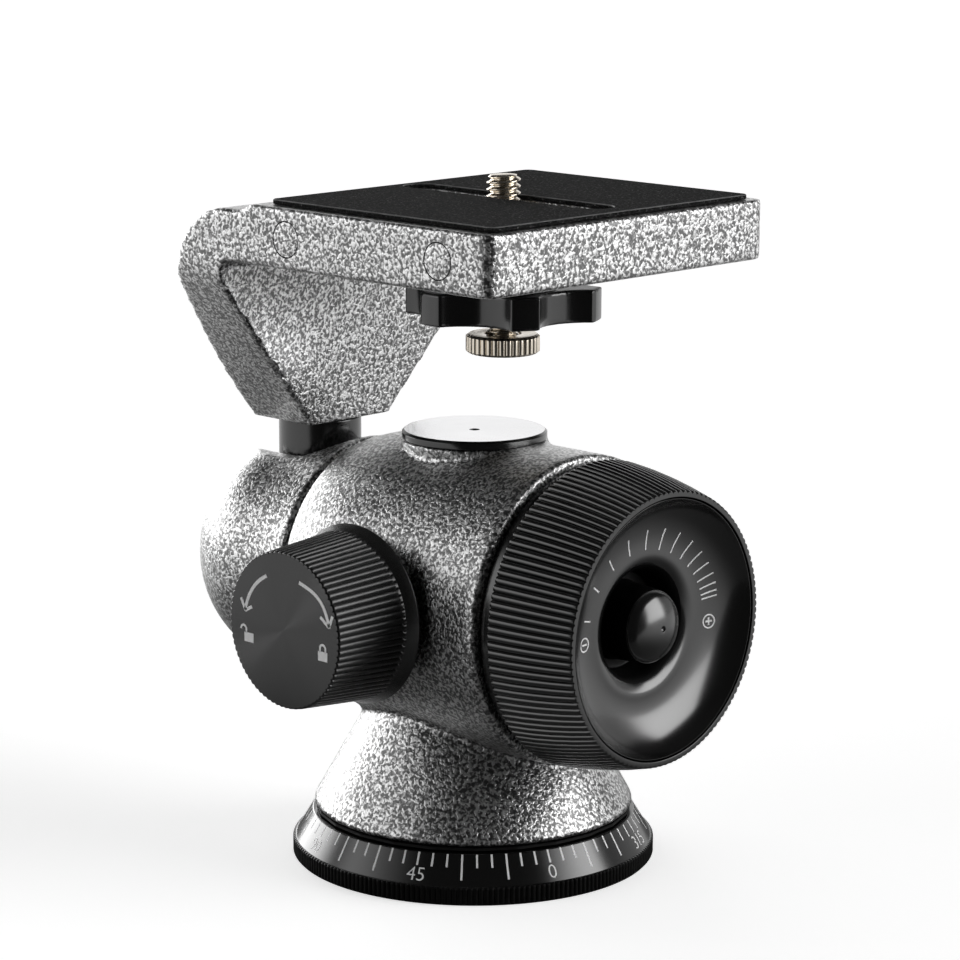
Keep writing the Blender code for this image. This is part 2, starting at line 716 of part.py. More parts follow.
def cone_profile():
    top = TILT_HEIGHT - BARREL_RADIUS * CONE_TOP_SHARE
    top_radius = FOOT_RADIUS - CONE_SLOPE_SHARE * (top - HOUSING_BOTTOM)
    return [
        (0, top),
        (top_radius, top),
        (FOOT_RADIUS - CONE_SLOPE_SHARE * FOOT_CORNER, HOUSING_BOTTOM + FOOT_CORNER),
        (FOOT_RADIUS - FOOT_CORNER, HOUSING_BOTTOM),
        (0, HOUSING_BOTTOM),
    ]


def top_boss_profile():
    flare = [
        (BOSS_RADIUS - BOSS_FLARE * (1 - math.cos(turn)), TOP_DISC_SEAT - height)
        for turn, height in (
            (math.radians(90 * step / CORNER_STEPS), BOSS_FLARE_HEIGHT * step / CORNER_STEPS)
            for step in range(1, CORNER_STEPS + 1)
        )
    ]
    return [
        (0, TOP_DISC_SEAT),
        (BOSS_RADIUS - BOSS_CORNER, TOP_DISC_SEAT),
        (BOSS_RADIUS, TOP_DISC_SEAT - BOSS_CORNER),
        *flare,
        (BOSS_RADIUS - BOSS_FLARE, TOP_DISC_SEAT - BOSS_ROOT),
        (0, TOP_DISC_SEAT - BOSS_ROOT),
    ]


def cut_foot(housing):
    """The stepped space under the housing that holds the spindle's disc and its ring."""
    profile = [
        (0, CAVITY_TOP),
        (DISC_BORE, CAVITY_TOP),
        (DISC_BORE, DISC_BOTTOM),
        (RETAINER_BORE, DISC_BOTTOM),
        (RETAINER_BORE, HOUSING_BOTTOM - OVERRUN),
        (0, HOUSING_BOTTOM - OVERRUN),
    ]
    boolean(housing, turned("housing_foot", profile, HIDDEN_FACETS, home=CUTTERS), "DIFFERENCE")


def cut_tilt_bore(housing):
    """The stepped bore along X for the cap's neck, the snap ring, the piston and the bush."""
    groove = MOUTH_RADIUS + SNAP_RING_REACH + CLEARANCE
    groove_half = SNAP_RING_THICKNESS / 2 + CLEARANCE
    profile = [
        (0, HOUSING_END + OVERRUN),
        (BUSH_RADIUS + CLEARANCE, HOUSING_END + OVERRUN),
        (BUSH_RADIUS + CLEARANCE, BUSH_INNER_X - CLEARANCE),
        (PISTON_BORE, BUSH_INNER_X - CLEARANCE),
        (PISTON_BORE, MOUTH_FLOOR_X),
        (MOUTH_RADIUS, MOUTH_FLOOR_X),
        (MOUTH_RADIUS, SNAP_RING_X + groove_half),
        (groove, SNAP_RING_X + groove_half),
        (groove, SNAP_RING_X - groove_half),
        (MOUTH_RADIUS, SNAP_RING_X - groove_half),
        (MOUTH_RADIUS, HOUSING_FACE_X - OVERRUN),
        (0, HOUSING_FACE_X - OVERRUN),
    ]
    cutter = turned(
        "housing_tilt_bore", profile, HIDDEN_FACETS, False, TILT_CENTRE, ALONG_X, CUTTERS
    )
    boolean(housing, cutter, "DIFFERENCE")


def cut_top_seat(housing):
    spot_radius = TOP_DISC_RADIUS + CLEARANCE
    bore(housing, "disc_seat", spot_radius, TOP_DISC_SEAT + OVERRUN, TOP_DISC_SEAT, MEDIUM_FACETS)
    spigot_floor = TOP_DISC_BOTTOM - TOP_SPIGOT_LENGTH - CLEARANCE
    bore(
        housing,
        "spigot_bore",
        TOP_SPIGOT_RADIUS + CLEARANCE,
        TOP_DISC_SEAT + OVERRUN,
        spigot_floor,
        SMALL_FACETS,
    )


def cut_pan_bores(housing):
    """The bores of the pan-lock screw and of the pin that it presses down."""
    bore(
        housing,
        "pan_screw_bore",
        PAN_SCREW_RADIUS + CLEARANCE,
        PAN_BOSS_END + OVERRUN,
        PAN_WEDGE_TIP - CLEARANCE,
        SMALL_FACETS,
        TILT_CENTRE,
        ALONG_MINUS_Y,
    )
    pin_place = (0, -PAN_PIN_PLACE, 0)
    middle_of_disc = (DISC_TOP + DISC_BOTTOM) / 2
    bore(
        housing, "pan_pin_bore", PAN_PIN_BORE, TILT_HEIGHT, middle_of_disc, SMALL_FACETS, pin_place
    )


def make_retaining_ring():
    inner = NECK_RADIUS + CLEARANCE
    outer = RETAINER_BORE - CLEARANCE
    profile = [
        (inner, RETAINER_TOP),
        (outer - RETAINER_CHAMFER, RETAINER_TOP),
        (outer, RETAINER_TOP - RETAINER_CHAMFER),
        (outer, RETAINER_BOTTOM),
        (inner, RETAINER_BOTTOM),
    ]
    return finish(turned("pan_retaining_ring", profile, HIDDEN_FACETS, closed=True), STEEL)


def make_top_disc():
    top = TOP_DISC_BOTTOM + TOP_DISC_THICKNESS
    rim = TOP_DISC_RADIUS - TOP_DISC_CHAMFER
    profile = [
        (0, top - TOP_DISC_DISH - TOP_DISC_DIMPLE / 2),
        (TOP_DISC_DIMPLE, top - TOP_DISC_DISH),
        (rim, top),
        (TOP_DISC_RADIUS, top - TOP_DISC_CHAMFER),
        (TOP_DISC_RADIUS, TOP_DISC_BOTTOM),
        (TOP_SPIGOT_RADIUS, TOP_DISC_BOTTOM),
        (TOP_SPIGOT_RADIUS, TOP_DISC_BOTTOM - TOP_SPIGOT_LENGTH),
        (0, TOP_DISC_BOTTOM - TOP_SPIGOT_LENGTH),
    ]
    return finish(turned("top_disc", profile, LARGE_FACETS), TURNED_METAL)


def make_tilt_bush():
    screw_bore = TILT_SCREW_RADIUS + CLEARANCE
    corner = FLANGE_CORNER
    profile = [
        (screw_bore, COLLAR_RIGHT_X),
        (BUSH_COLLAR_RADIUS - corner, COLLAR_RIGHT_X),
        (BUSH_COLLAR_RADIUS, COLLAR_RIGHT_X - corner),
        (BUSH_COLLAR_RADIUS, COLLAR_LEFT_X),
        (BUSH_RADIUS, COLLAR_LEFT_X),
        (BUSH_RADIUS, BUSH_INNER_X),
        (screw_bore, BUSH_INNER_X),
    ]
    bush = turned("tilt_bush", profile, MEDIUM_FACETS, True, TILT_CENTRE, ALONG_X)
    return finish(bush, BLACK_ANODISED)


def make_snap_ring():
    """An open ring that lies half in the cap's groove and half in the housing's."""
    inner = CAP_NECK_RADIUS - SNAP_RING_BITE
    outer = MOUTH_RADIUS + SNAP_RING_REACH
    half = SNAP_RING_THICKNESS / 2
    right = SNAP_RING_X + half
    left = SNAP_RING_X - half
    profile = [(inner, right), (outer, right), (outer, left), (inner, left)]
    ring = turned("cap_snap_ring", profile, HIDDEN_FACETS, True, TILT_CENTRE, ALONG_X)
    top = TILT_HEIGHT - outer - OVERRUN
    outline = [
        (left - OVERRUN, top),
        (right + OVERRUN, top),
        (right + OVERRUN, TILT_HEIGHT - inner + OVERRUN),
        (left - OVERRUN, TILT_HEIGHT - inner + OVERRUN),
    ]
    half_gap = SNAP_RING_GAP / 2
    gap = prism("cap_snap_ring_gap", outline, -half_gap, half_gap, "XZ", CUTTERS)
    boolean(ring, gap, "DIFFERENCE")
    return finish(ring, STEEL)


# Cap, ball and cup
def make_ball_cap():
    cap = turned("ball_cap", cap_profile(), LARGE_FACETS, False, BALL_CENTRE, ALONG_X)
    spot_radius = STEM_RADIUS + SPOT_FACE_RIM
    spot_floor = CAP_BORE + SPOT_FACE_WALL
    bore(
        cap, "spot_face", spot_radius, CAP_RADIUS + OVERRUN, spot_floor, MEDIUM_FACETS, BALL_CENTRE
    )
    reach = CAP_RADIUS + OVERRUN
    width = SLOT_HALF_WIDTH
    bore(cap, "slot_top", width, reach, 0, SMALL_FACETS, BALL_CENTRE)
    bore(cap, "slot_end", width, 0, -reach, SMALL_FACETS, BALL_CENTRE, ALONG_X)
    outline = [
        (BALL_X - reach, TILT_HEIGHT),
        (BALL_X, TILT_HEIGHT),
        (BALL_X, TILT_HEIGHT + reach),
        (BALL_X - reach, TILT_HEIGHT + reach),
    ]
    boolean(cap, prism("ball_cap_slot", outline, -width, width, "XZ", CUTTERS), "DIFFERENCE")
    return finish(cap, HAMMERTONE)


def cap_profile():
    """The cap's (radius, x) points from the ball's centre, along the bore, then back outside."""
    neck_end = CAP_NECK_END_X - BALL_X
    face = CAP_FACE_X - BALL_X
    ring = SNAP_RING_X - BALL_X
    groove_half = SNAP_RING_THICKNESS / 2 + CLEARANCE
    groove = CAP_NECK_RADIUS - SNAP_RING_BITE - CLEARANCE
    inside = arc((0, 0), (CAP_BORE, CAP_BORE), -90, 0, ARC_STEPS)
    outside = arc((0, 0), (CAP_RADIUS, CAP_RADIUS), 0, -90, BALL_STEPS)
    swell = CAP_FACE_RADIUS - CAP_RADIUS
    flare_length = face - CAP_CORNER
    flare = [
        (CAP_RADIUS + swell * (step / CORNER_STEPS) ** 2, flare_length * step / CORNER_STEPS)
        for step in range(CORNER_STEPS, 0, -1)
    ]
    inside[0] = (0, -CAP_BORE)
    outside[-1] = (0, -CAP_RADIUS)
    return [
        *inside,
        (CAP_BORE, neck_end),
        (CAP_NECK_RADIUS, neck_end),
        (CAP_NECK_RADIUS, ring + groove_half),
        (groove, ring + groove_half),
        (groove, ring - groove_half),
        (CAP_NECK_RADIUS, ring - groove_half),
        (CAP_NECK_RADIUS, face),
        (CAP_FACE_RADIUS - CAP_CORNER, face),
        *flare,
        *outside,
    ]


def make_ball():
    stud_bore = STUD_RADIUS + CLEARANCE
    floor = BALL_FLAT_HEIGHT - STUD_IN_BALL - STUD_END_ROOM
    start = math.degrees(math.asin(BALL_FLAT_HEIGHT / BALL_RADIUS))
    side = arc((0, 0), (BALL_RADIUS, BALL_RADIUS), start, -90, BALL_STEPS)
    side[-1] = (0, -BALL_RADIUS)
    profile = [(0, floor), (stud_bore, floor), (stud_bore, BALL_FLAT_HEIGHT), *side]
    ball = turned("ball", profile, HIDDEN_FACETS, place=BALL_CENTRE)
    return finish(ball, TURNED_METAL)


def make_ball_cup():
    seat_radius = BALL_RADIUS + CLEARANCE
    lip = CUP_LIP_X - BALL_X
    rear = CUP_REAR_X - BALL_X
    start = math.degrees(math.asin(lip / seat_radius))
    seat = arc((0, 0), (seat_radius, seat_radius), start, 90, ARC_STEPS)
    seat[-1] = (0, seat_radius)
    outer = CAP_BORE - CLEARANCE
    profile = [(0, rear), (outer, rear), (outer, lip), *seat]
    cup = turned("ball_cup", profile, MEDIUM_FACETS, False, BALL_CENTRE, ALONG_X)
    return finish(cup, NYLON)


def make_piston():
    profile = rod(PISTON_RADIUS, PISTON_RIGHT_X, PISTON_LEFT_X, PISTON_CHAMFER)
    piston = turned("piston", profile, SMALL_FACETS, False, TILT_CENTRE, ALONG_X)
    return finish(piston, STEEL)


# Tilt-lock knob
def make_tilt_knob():
    groove = TILT_KNOB_GROOVE
    front = TILT_KNOB_FRONT_X
    slope = (TILT_KNOB_RADIUS - TILT_KNOB_RIM_RADIUS) / TILT_KNOB_LENGTH
    stations = [
        (TILT_KNOB_RIM_RADIUS, front, 0),
        (TILT_KNOB_RIM_RADIUS + slope * TILT_KNOB_PLAIN, front - TILT_KNOB_PLAIN, groove),
        (TILT_KNOB_RADIUS, TILT_KNOB_REAR_X, groove),
    ]
    knob = ridged("tilt_knob", stations, TILT_KNOB_RIDGES, TILT_CENTRE, ALONG_X)
    recess = [
        (0, front + OVERRUN),
        (DIAL_RADIUS + CLEARANCE, front + OVERRUN),
        *dial_back(CLEARANCE),
    ]
    cutter = turned(
        "tilt_knob_recess", recess, LARGE_FACETS, False, TILT_CENTRE, ALONG_X, CUTTERS
    )
    boolean(knob, cutter, "DIFFERENCE")
    screw_hole = TILT_SCREW_RADIUS + CLEARANCE
    low = TILT_KNOB_REAR_X - OVERRUN
    bore(
        knob, "screw_hole", screw_hole, TILT_WEB_X + OVERRUN, low, SMALL_FACETS, TILT_CENTRE, ALONG_X
    )
    return finish(knob, BLACK_ANODISED)


def dial_back(room):
    """The hidden side of the dial, or with room added the recess that it sits in."""
    front = TILT_KNOB_FRONT_X
    floor = front - DIAL_SLOPE_DEPTH - DIAL_WALL - room
    moat = DIAL_STEP_RADIUS + room
    return [
        (DIAL_RADIUS + room, front - DIAL_EDGE - room),
        (DIAL_FLOOR_RADIUS + DIAL_WALL + room, floor),
        (moat, floor),
        (moat, TILT_WEB_X + CLEARANCE - room),
        (0, TILT_WEB_X + CLEARANCE - room),
    ]


def make_tilt_dial():
    front = TILT_KNOB_FRONT_X
    floor = front - DIAL_SLOPE_DEPTH
    slope = arc(
        (DIAL_FLOOR_RADIUS, front),
        (DIAL_RADIUS - DIAL_FLOOR_RADIUS, DIAL_SLOPE_DEPTH),
        -90,
        0,
        CORNER_STEPS,
    )
    moat_floor = front - MOAT_DEPTH
    dome_top = front - DOME_SET_BACK
    dome = arc((0, dome_top - DOME_HEIGHT), (DOME_RADIUS, DOME_HEIGHT), 75, 0, CORNER_STEPS)
    profile = [
        (0, dome_top - DOME_DIMPLE / 2),
        (DOME_DIMPLE, dome_top),
        *dome,
        (DOME_RADIUS, moat_floor),
        (MOAT_OUTER_RADIUS - DIAL_WALL, moat_floor),
        (MOAT_OUTER_RADIUS, moat_floor + DIAL_WALL),
        (DIAL_STEP_RADIUS - DIAL_WALL, floor - DIAL_WALL / 2),
        (DIAL_STEP_RADIUS, floor + DIAL_STEP_HEIGHT),
        (DIAL_STEP_RADIUS + DIAL_WALL, floor),
        *slope,
        *dial_back(0),
    ]
    dial = turned("tilt_dial", profile, MEDIUM_FACETS, False, TILT_CENTRE, ALONG_X)
    return finish(dial, GLOSS_BLACK)


def make_tilt_screw():
    tip = PISTON_RIGHT_X + CLEARANCE
    profile = [
        (0, TILT_WEB_X),
        (TILT_SCREW_RADIUS, TILT_WEB_X),
        (TILT_SCREW_RADIUS, tip + TILT_SCREW_TIP),
        (TILT_SCREW_RADIUS - TILT_SCREW_TIP, tip),
        (0, tip),
    ]
    screw = turned("tilt_screw", profile, SMALL_FACETS, False, TILT_CENTRE, ALONG_X)
    return finish(screw, STEEL)


# Pan-lock knob, whose heights run along -Y from the pan axis
def make_pan_knob():
    groove = PAN_KNOB_GROOVE
    front = PAN_KNOB_FRONT
    collar = PAN_KNOB_REAR + PAN_COLLAR_LENGTH
    chamfer = PAN_COLLAR_CHAMFER
    ridge_start = front - PAN_KNOB_PLAIN
    stations = [
        (PAN_KNOB_RADIUS, front, 0),
        (PAN_KNOB_RADIUS, ridge_start, groove),
        (PAN_KNOB_REAR_RADIUS, collar, groove),
        (PAN_KNOB_REAR_RADIUS, collar - PAN_KNOB_PLAIN, 0),
        (PAN_COLLAR_RADIUS, PAN_KNOB_REAR + chamfer, 0),
        (PAN_COLLAR_RADIUS - chamfer, PAN_KNOB_REAR, 0),
    ]
    knob = ridged("pan_knob", stations, PAN_KNOB_RIDGES, TILT_CENTRE, ALONG_MINUS_Y)
    hold = PAN_KNOB_REAR + PAN_KNOB_HOLD
    bore(
        knob,
        "screw_hole",
        PAN_SCREW_RADIUS + CLEARANCE,
        hold,
        PAN_KNOB_REAR - OVERRUN,
        SMALL_FACETS,
        TILT_CENTRE,
        ALONG_MINUS_Y,
    )
    return finish(knob, BLACK_ANODISED)


def make_pan_screw():
    end = PAN_KNOB_REAR + PAN_KNOB_HOLD - CLEARANCE
    profile = rod(PAN_SCREW_RADIUS, end, PAN_SCREW_TIP)
    screw = turned("pan_screw", profile, SMALL_FACETS, False, TILT_CENTRE, ALONG_MINUS_Y)
    return finish(screw, STEEL)


def make_pan_wedge():
    profile = [
        (0, PAN_WEDGE_REAR),
        (PAN_SCREW_RADIUS, PAN_WEDGE_REAR),
        (PAN_SCREW_RADIUS, PAN_WEDGE_SHOULDER),
        (PAN_WEDGE_TIP_RADIUS, PAN_WEDGE_TIP),
        (0, PAN_WEDGE_TIP),
    ]
    wedge = turned("pan_wedge", profile, SMALL_FACETS, False, TILT_CENTRE, ALONG_MINUS_Y)
    return finish(wedge, STEEL)


def make_pan_pin():
    """The pin's coned top lies along the wedge's cone, one clearance away from it."""
    line = TILT_HEIGHT - PAN_WEDGE_TIP_RADIUS + PAN_WEDGE_TIP
    tip_edge = line - PAN_PIN_PLACE - CLEARANCE * math.sqrt(2)
    top = tip_edge - PAN_PIN_TIP_RADIUS
    profile = [
        (0, top),
        (PAN_PIN_TIP_RADIUS, top),
        (PAN_PIN_RADIUS, top - PAN_PIN_RADIUS + PAN_PIN_TIP_RADIUS),
        (PAN_PIN_RADIUS, CAVITY_TOP),
        (0, CAVITY_TOP),
    ]
    pin = turned("pan_brake_pin", profile, SMALL_FACETS, place=(0, -PAN_PIN_PLACE, 0))
    return finish(pin, BRASS)


# Stem
def make_stem():
    inner = STUD_RADIUS + CLEARANCE
    profile = [
        (inner, STEM_TOP),
        (STEM_RADIUS - STEM_CHAMFER, STEM_TOP),
        (STEM_RADIUS, STEM_TOP - STEM_CHAMFER),
        (STEM_RADIUS, STEM_BOTTOM + STEM_CHAMFER),
        (STEM_RADIUS - STEM_CHAMFER, STEM_BOTTOM),
        (inner, STEM_BOTTOM),
    ]
    stem = turned("stem", profile, MEDIUM_FACETS, closed=True, place=(BALL_X, 0, 0))
    return finish(stem, BLACK_ANODISED)


def make_stem_stud():
    top = BRACKET_BOTTOM + STUD_IN_BRACKET
    bottom = TILT_HEIGHT + BALL_FLAT_HEIGHT - STUD_IN_BALL
    stud = turned(
        "stem_stud", rod(STUD_RADIUS, top, bottom), SMALL_FACETS, place=(BALL_X, 0, 0)
    )
    return finish(stud, STEEL)


# Bracket, one casting: an arm that widens upwards into the platform
def make_bracket():
    half = PLATFORM_HALF_WIDTH
    bracket = prism("bracket", bracket_side(), -half - OVERRUN, half + OVERRUN, "XZ")
    far = BALL_X - ARM_OUT - OVERRUN
    near = BALL_X + PLATFORM_REACH + OVERRUN
    front = prism("bracket_front_view", bracket_front(), far, near, "YZ", CUTTERS)
    low = BRACKET_BOTTOM - OVERRUN
    high = PLATFORM_TOP + OVERRUN
    plan = prism("bracket_plan_view", bracket_plan(), low, high, "XY", CUTTERS)
    boolean(bracket, front, "INTERSECT")
    boolean(bracket, plan, "INTERSECT")
    round_edges(bracket, BRACKET_EDGE, 2, 32)
    slot = round_slot(*camera_slot_ends(), CAMERA_SLOT_HALF_WIDTH)
    through = PLATFORM_UNDERSIDE - OVERRUN
    boolean(bracket, prism("bracket_slot", slot, through, high, "XY", CUTTERS), "DIFFERENCE")
    stud_bore = STUD_RADIUS + CLEARANCE
    stud_floor = BRACKET_BOTTOM + STUD_IN_BRACKET + STUD_END_ROOM
    bore(bracket, "stud_bore", stud_bore, stud_floor, low, SMALL_FACETS, (BALL_X, 0, 0))
    for index, place in enumerate(plug_places(), 1):
        bore(
            bracket,
            f"plug_bore_{index}",
            PLUG_RADIUS + CLEARANCE / 2,
            half + OVERRUN,
            half - PLUG_LENGTH - CLEARANCE,
            SMALL_FACETS,
            place,
            ALONG_MINUS_Y,
        )
    return finish(bracket, HAMMERTONE)


def bracket_side():
    """The side view, as (x, z) points."""
    def place(x, z):
        return (BALL_X + x, BRACKET_BOTTOM + z)

    fillet_x = ARM_IN + INNER_LEAN + INNER_FILLET
    fillet_z = ARM_HEIGHT - INNER_FILLET
    fillet = arc((fillet_x, fillet_z), (INNER_FILLET, INNER_FILLET), 180, 90, CORNER_STEPS)
    shoulder_left = OUTER_TOP_LEAN - ARM_OUT
    shoulder_x = shoulder_left + SHOULDER_RUN
    arm_top = ARM_HEIGHT + PLATFORM_THICKNESS - TOP_STEP_DROP
    shoulder_z = arm_top - SHOULDER_RISE
    shoulder = arc((shoulder_x, shoulder_z), (SHOULDER_RUN, SHOULDER_RISE), 90, 180, ARC_STEPS)
    step_x = shoulder_x + ARM_TOP_FLAT
    outer = [
        (OUTER_TOP_LEAN * (1 - step / ARC_STEPS) ** OUTER_CURVE_SHARE - ARM_OUT,
         shoulder_z * (1 - step / ARC_STEPS))
        for step in range(1, ARC_STEPS)
    ]
    points = [
        (-ARM_OUT, 0),
        (ARM_IN, 0),
        *fillet,
        (PLATFORM_REACH, ARM_HEIGHT),
        (PLATFORM_REACH, ARM_HEIGHT + PLATFORM_THICKNESS),
        (step_x + TOP_STEP_RUN, ARM_HEIGHT + PLATFORM_THICKNESS),
        (step_x, arm_top),
        *shoulder,
        *outer,
    ]
    return [place(x, z) for x, z in points]


def bracket_front():
    """The view along X, as (y, z) points: a narrow lower end that widens to the platform."""
    top = ARM_HEIGHT + PLATFORM_THICKNESS + OVERRUN
    spread = ARM_HALF_WIDTH + ARM_SPREAD
    blend = PLATFORM_HALF_WIDTH - spread
    side = [(ARM_HALF_WIDTH, 0), (spread, ARM_SPREAD_HEIGHT)]
    for step in range(1, CORNER_STEPS + 1):
        share = step / CORNER_STEPS
        side.append(
            (spread + blend * math.sin(share * math.pi / 2),
             ARM_SPREAD_HEIGHT + ARM_BLEND_HEIGHT * share)
        )
    side.append((PLATFORM_HALF_WIDTH, top))
    right = [(y, BRACKET_BOTTOM + z) for y, z in side]
    left = [(-y, z) for y, z in reversed(right)]
    return right + left


def bracket_plan():
    """The view from above, as (x, y) points, with the front corners rounded."""
    back = BALL_X - ARM_OUT - 2 * OVERRUN
    front = BALL_X + PLATFORM_REACH
    half = PLATFORM_HALF_WIDTH
    radii = (PLATFORM_CORNER, PLATFORM_CORNER)
    x = front - PLATFORM_CORNER
    y = half - PLATFORM_CORNER
    return [
        (back, -half),
        *arc((x, -y), radii, -90, 0, CORNER_STEPS),
        *arc((x, y), radii, 0, 90, CORNER_STEPS),
        (back, half),
    ]


def camera_slot_ends():
    return BALL_X + CAMERA_SLOT_START, BALL_X + PLATFORM_REACH - CAMERA_SLOT_MARGIN


def plug_places():
    middle = PLATFORM_UNDERSIDE + PLATFORM_THICKNESS / 2
    near_stem = BALL_X + PLUG_FROM_STEM
    near_front = BALL_X + PLATFORM_REACH - PLUG_FROM_FRONT
    return [(near_stem, 0, middle), (near_front, 0, middle)]


def make_plugs():
    plugs = []
    half = PLATFORM_HALF_WIDTH
    for index, place in enumerate(plug_places(), 1):
        profile = rod(PLUG_RADIUS, half, half - PLUG_LENGTH)
        plug = turned(
            f"bracket_plug_{index}", profile, SMALL_FACETS, False, place, ALONG_MINUS_Y
        )
        plugs.append(finish(plug, HAMMERTONE))
    return plugs


def make_pad():
    back = platform_back() + PAD_BACK_MARGIN
    front = BALL_X + PLATFORM_REACH - PAD_FRONT_MARGIN
    half = PLATFORM_HALF_WIDTH - PAD_SIDE_MARGIN
    radii = (PAD_CORNER, PAD_CORNER)
    x_low = back + PAD_CORNER
    x_high = front - PAD_CORNER
    y = half - PAD_CORNER
    outline = [
        *arc((x_low, -y), radii, 180, 270, CORNER_STEPS),
        *arc((x_high, -y), radii, 270, 360, CORNER_STEPS),
        *arc((x_high, y), radii, 0, 90, CORNER_STEPS),
        *arc((x_low, y), radii, 90, 180, CORNER_STEPS),
    ]
    pad = prism("platform_pad", outline, PAD_BOTTOM, PAD_TOP)
    start, end = camera_slot_ends()
    margin = PAD_SLOT_MARGIN
    slot = round_slot(start - margin, end + margin, CAMERA_SLOT_HALF_WIDTH + margin)
    low = PAD_BOTTOM - OVERRUN
    high = PAD_TOP + OVERRUN
    boolean(pad, prism("platform_pad_slot", slot, low, high, "XY", CUTTERS), "DIFFERENCE")
    return finish(pad, RUBBER)


def platform_back():
    """Where the platform's top ends, at the step down to the arm."""
    shoulder_x = OUTER_TOP_LEAN - ARM_OUT + SHOULDER_RUN
    return BALL_X + shoulder_x + ARM_TOP_FLAT + TOP_STEP_RUN


# Camera screw and what turns on it
def make_camera_screw():
    profile = rod(
        CAMERA_SCREW_RADIUS, CAMERA_SCREW_TOP, SCREW_KNOB_BOTTOM, CAMERA_SCREW_CHAMFER
    )
    screw = turned("camera_screw", profile, SMALL_FACETS, place=CAMERA_SCREW_CENTRE)
    return finish(screw, NICKEL)


def make_screw_knob():
    groove = SCREW_KNOB_GROOVE
    chamfer = SCREW_KNOB_CHAMFER
    radius = SCREW_KNOB_RADIUS
    stations = [
        (radius - chamfer, SCREW_KNOB_TOP, 0),
        (radius, SCREW_KNOB_TOP - chamfer, groove),
        (radius, SCREW_KNOB_BOTTOM + chamfer, groove),
        (radius - chamfer, SCREW_KNOB_BOTTOM, 0),
    ]
    knob = ridged("screw_knob", stations, SCREW_KNOB_RIDGES, CAMERA_SCREW_CENTRE, ALONG_Z)
    hole = CAMERA_SCREW_RADIUS + CLEARANCE
    top = SCREW_KNOB_TOP + OVERRUN
    bottom = SCREW_KNOB_BOTTOM - OVERRUN
    bore(knob, "hole", hole, top, bottom, SMALL_FACETS, CAMERA_SCREW_CENTRE)
    return finish(knob, NICKEL)


def make_slot_washer():
    inner = CAMERA_SCREW_RADIUS + CLEARANCE
    profile = [
        (inner, WASHER_TOP),
        (WASHER_RADIUS, WASHER_TOP),
        (WASHER_RADIUS, WASHER_BOTTOM),
        (inner, WASHER_BOTTOM),
    ]
    washer = turned("slot_washer", profile, HIDDEN_FACETS, True, CAMERA_SCREW_CENTRE)
    return finish(washer, STEEL)


def star_outline():
    """Six blunt lobes joined by hollow arcs."""
    half_lobe = math.asin(NUT_LOBE_HALF_WIDTH / NUT_RADIUS)
    half_arc = math.pi / NUT_LOBES - half_lobe
    chord = NUT_RADIUS * math.sin(half_arc)
    depth = NUT_RADIUS * math.cos(half_arc) - NUT_WAIST_RADIUS
    arc_radius = (chord**2 + depth**2) / (2 * depth)
    arc_centre = NUT_WAIST_RADIUS + arc_radius
    spread = math.degrees(math.asin(chord / arc_radius))
    points = []
    for lobe in range(NUT_LOBES):
        middle = NUT_TURN + math.tau * (lobe + 0.5) / NUT_LOBES
        points.append(polar(NUT_RADIUS, middle - half_arc - half_lobe))
        for x, y in arc((0, 0), (arc_radius, arc_radius), 180 + spread, 180 - spread, CURVE_STEPS):
            reach = Vector((arc_centre + x, y))
            points.append(polar(reach.length, middle + math.atan2(reach.y, reach.x)))
    return points


def polar(radius, turn):
    centre = CAMERA_SCREW_CENTRE
    return centre[0] + radius * math.cos(turn), centre[1] + radius * math.sin(turn)


def make_star_nut():
    nut = prism("star_nut", star_outline(), NUT_BOTTOM, NUT_TOP)
    round_edges(nut, NUT_EDGE, 2, 60)
    middle = (NUT_BOTTOM + NUT_TOP) / 2
    hub = turned(
        "star_nut_hub",
        rod(NUT_HUB_RADIUS, NUT_HUB_TOP, middle),
        HIDDEN_FACETS,
        place=CAMERA_SCREW_CENTRE,
        home=CUTTERS,
    )
    boolean(nut, hub, "UNION")
    hole = CAMERA_SCREW_RADIUS + CLEARANCE
    top = NUT_HUB_TOP + OVERRUN
    bore(nut, "hole", hole, top, NUT_BOTTOM - OVERRUN, SMALL_FACETS, CAMERA_SCREW_CENTRE)
    return finish(nut, BLACK_ANODISED)


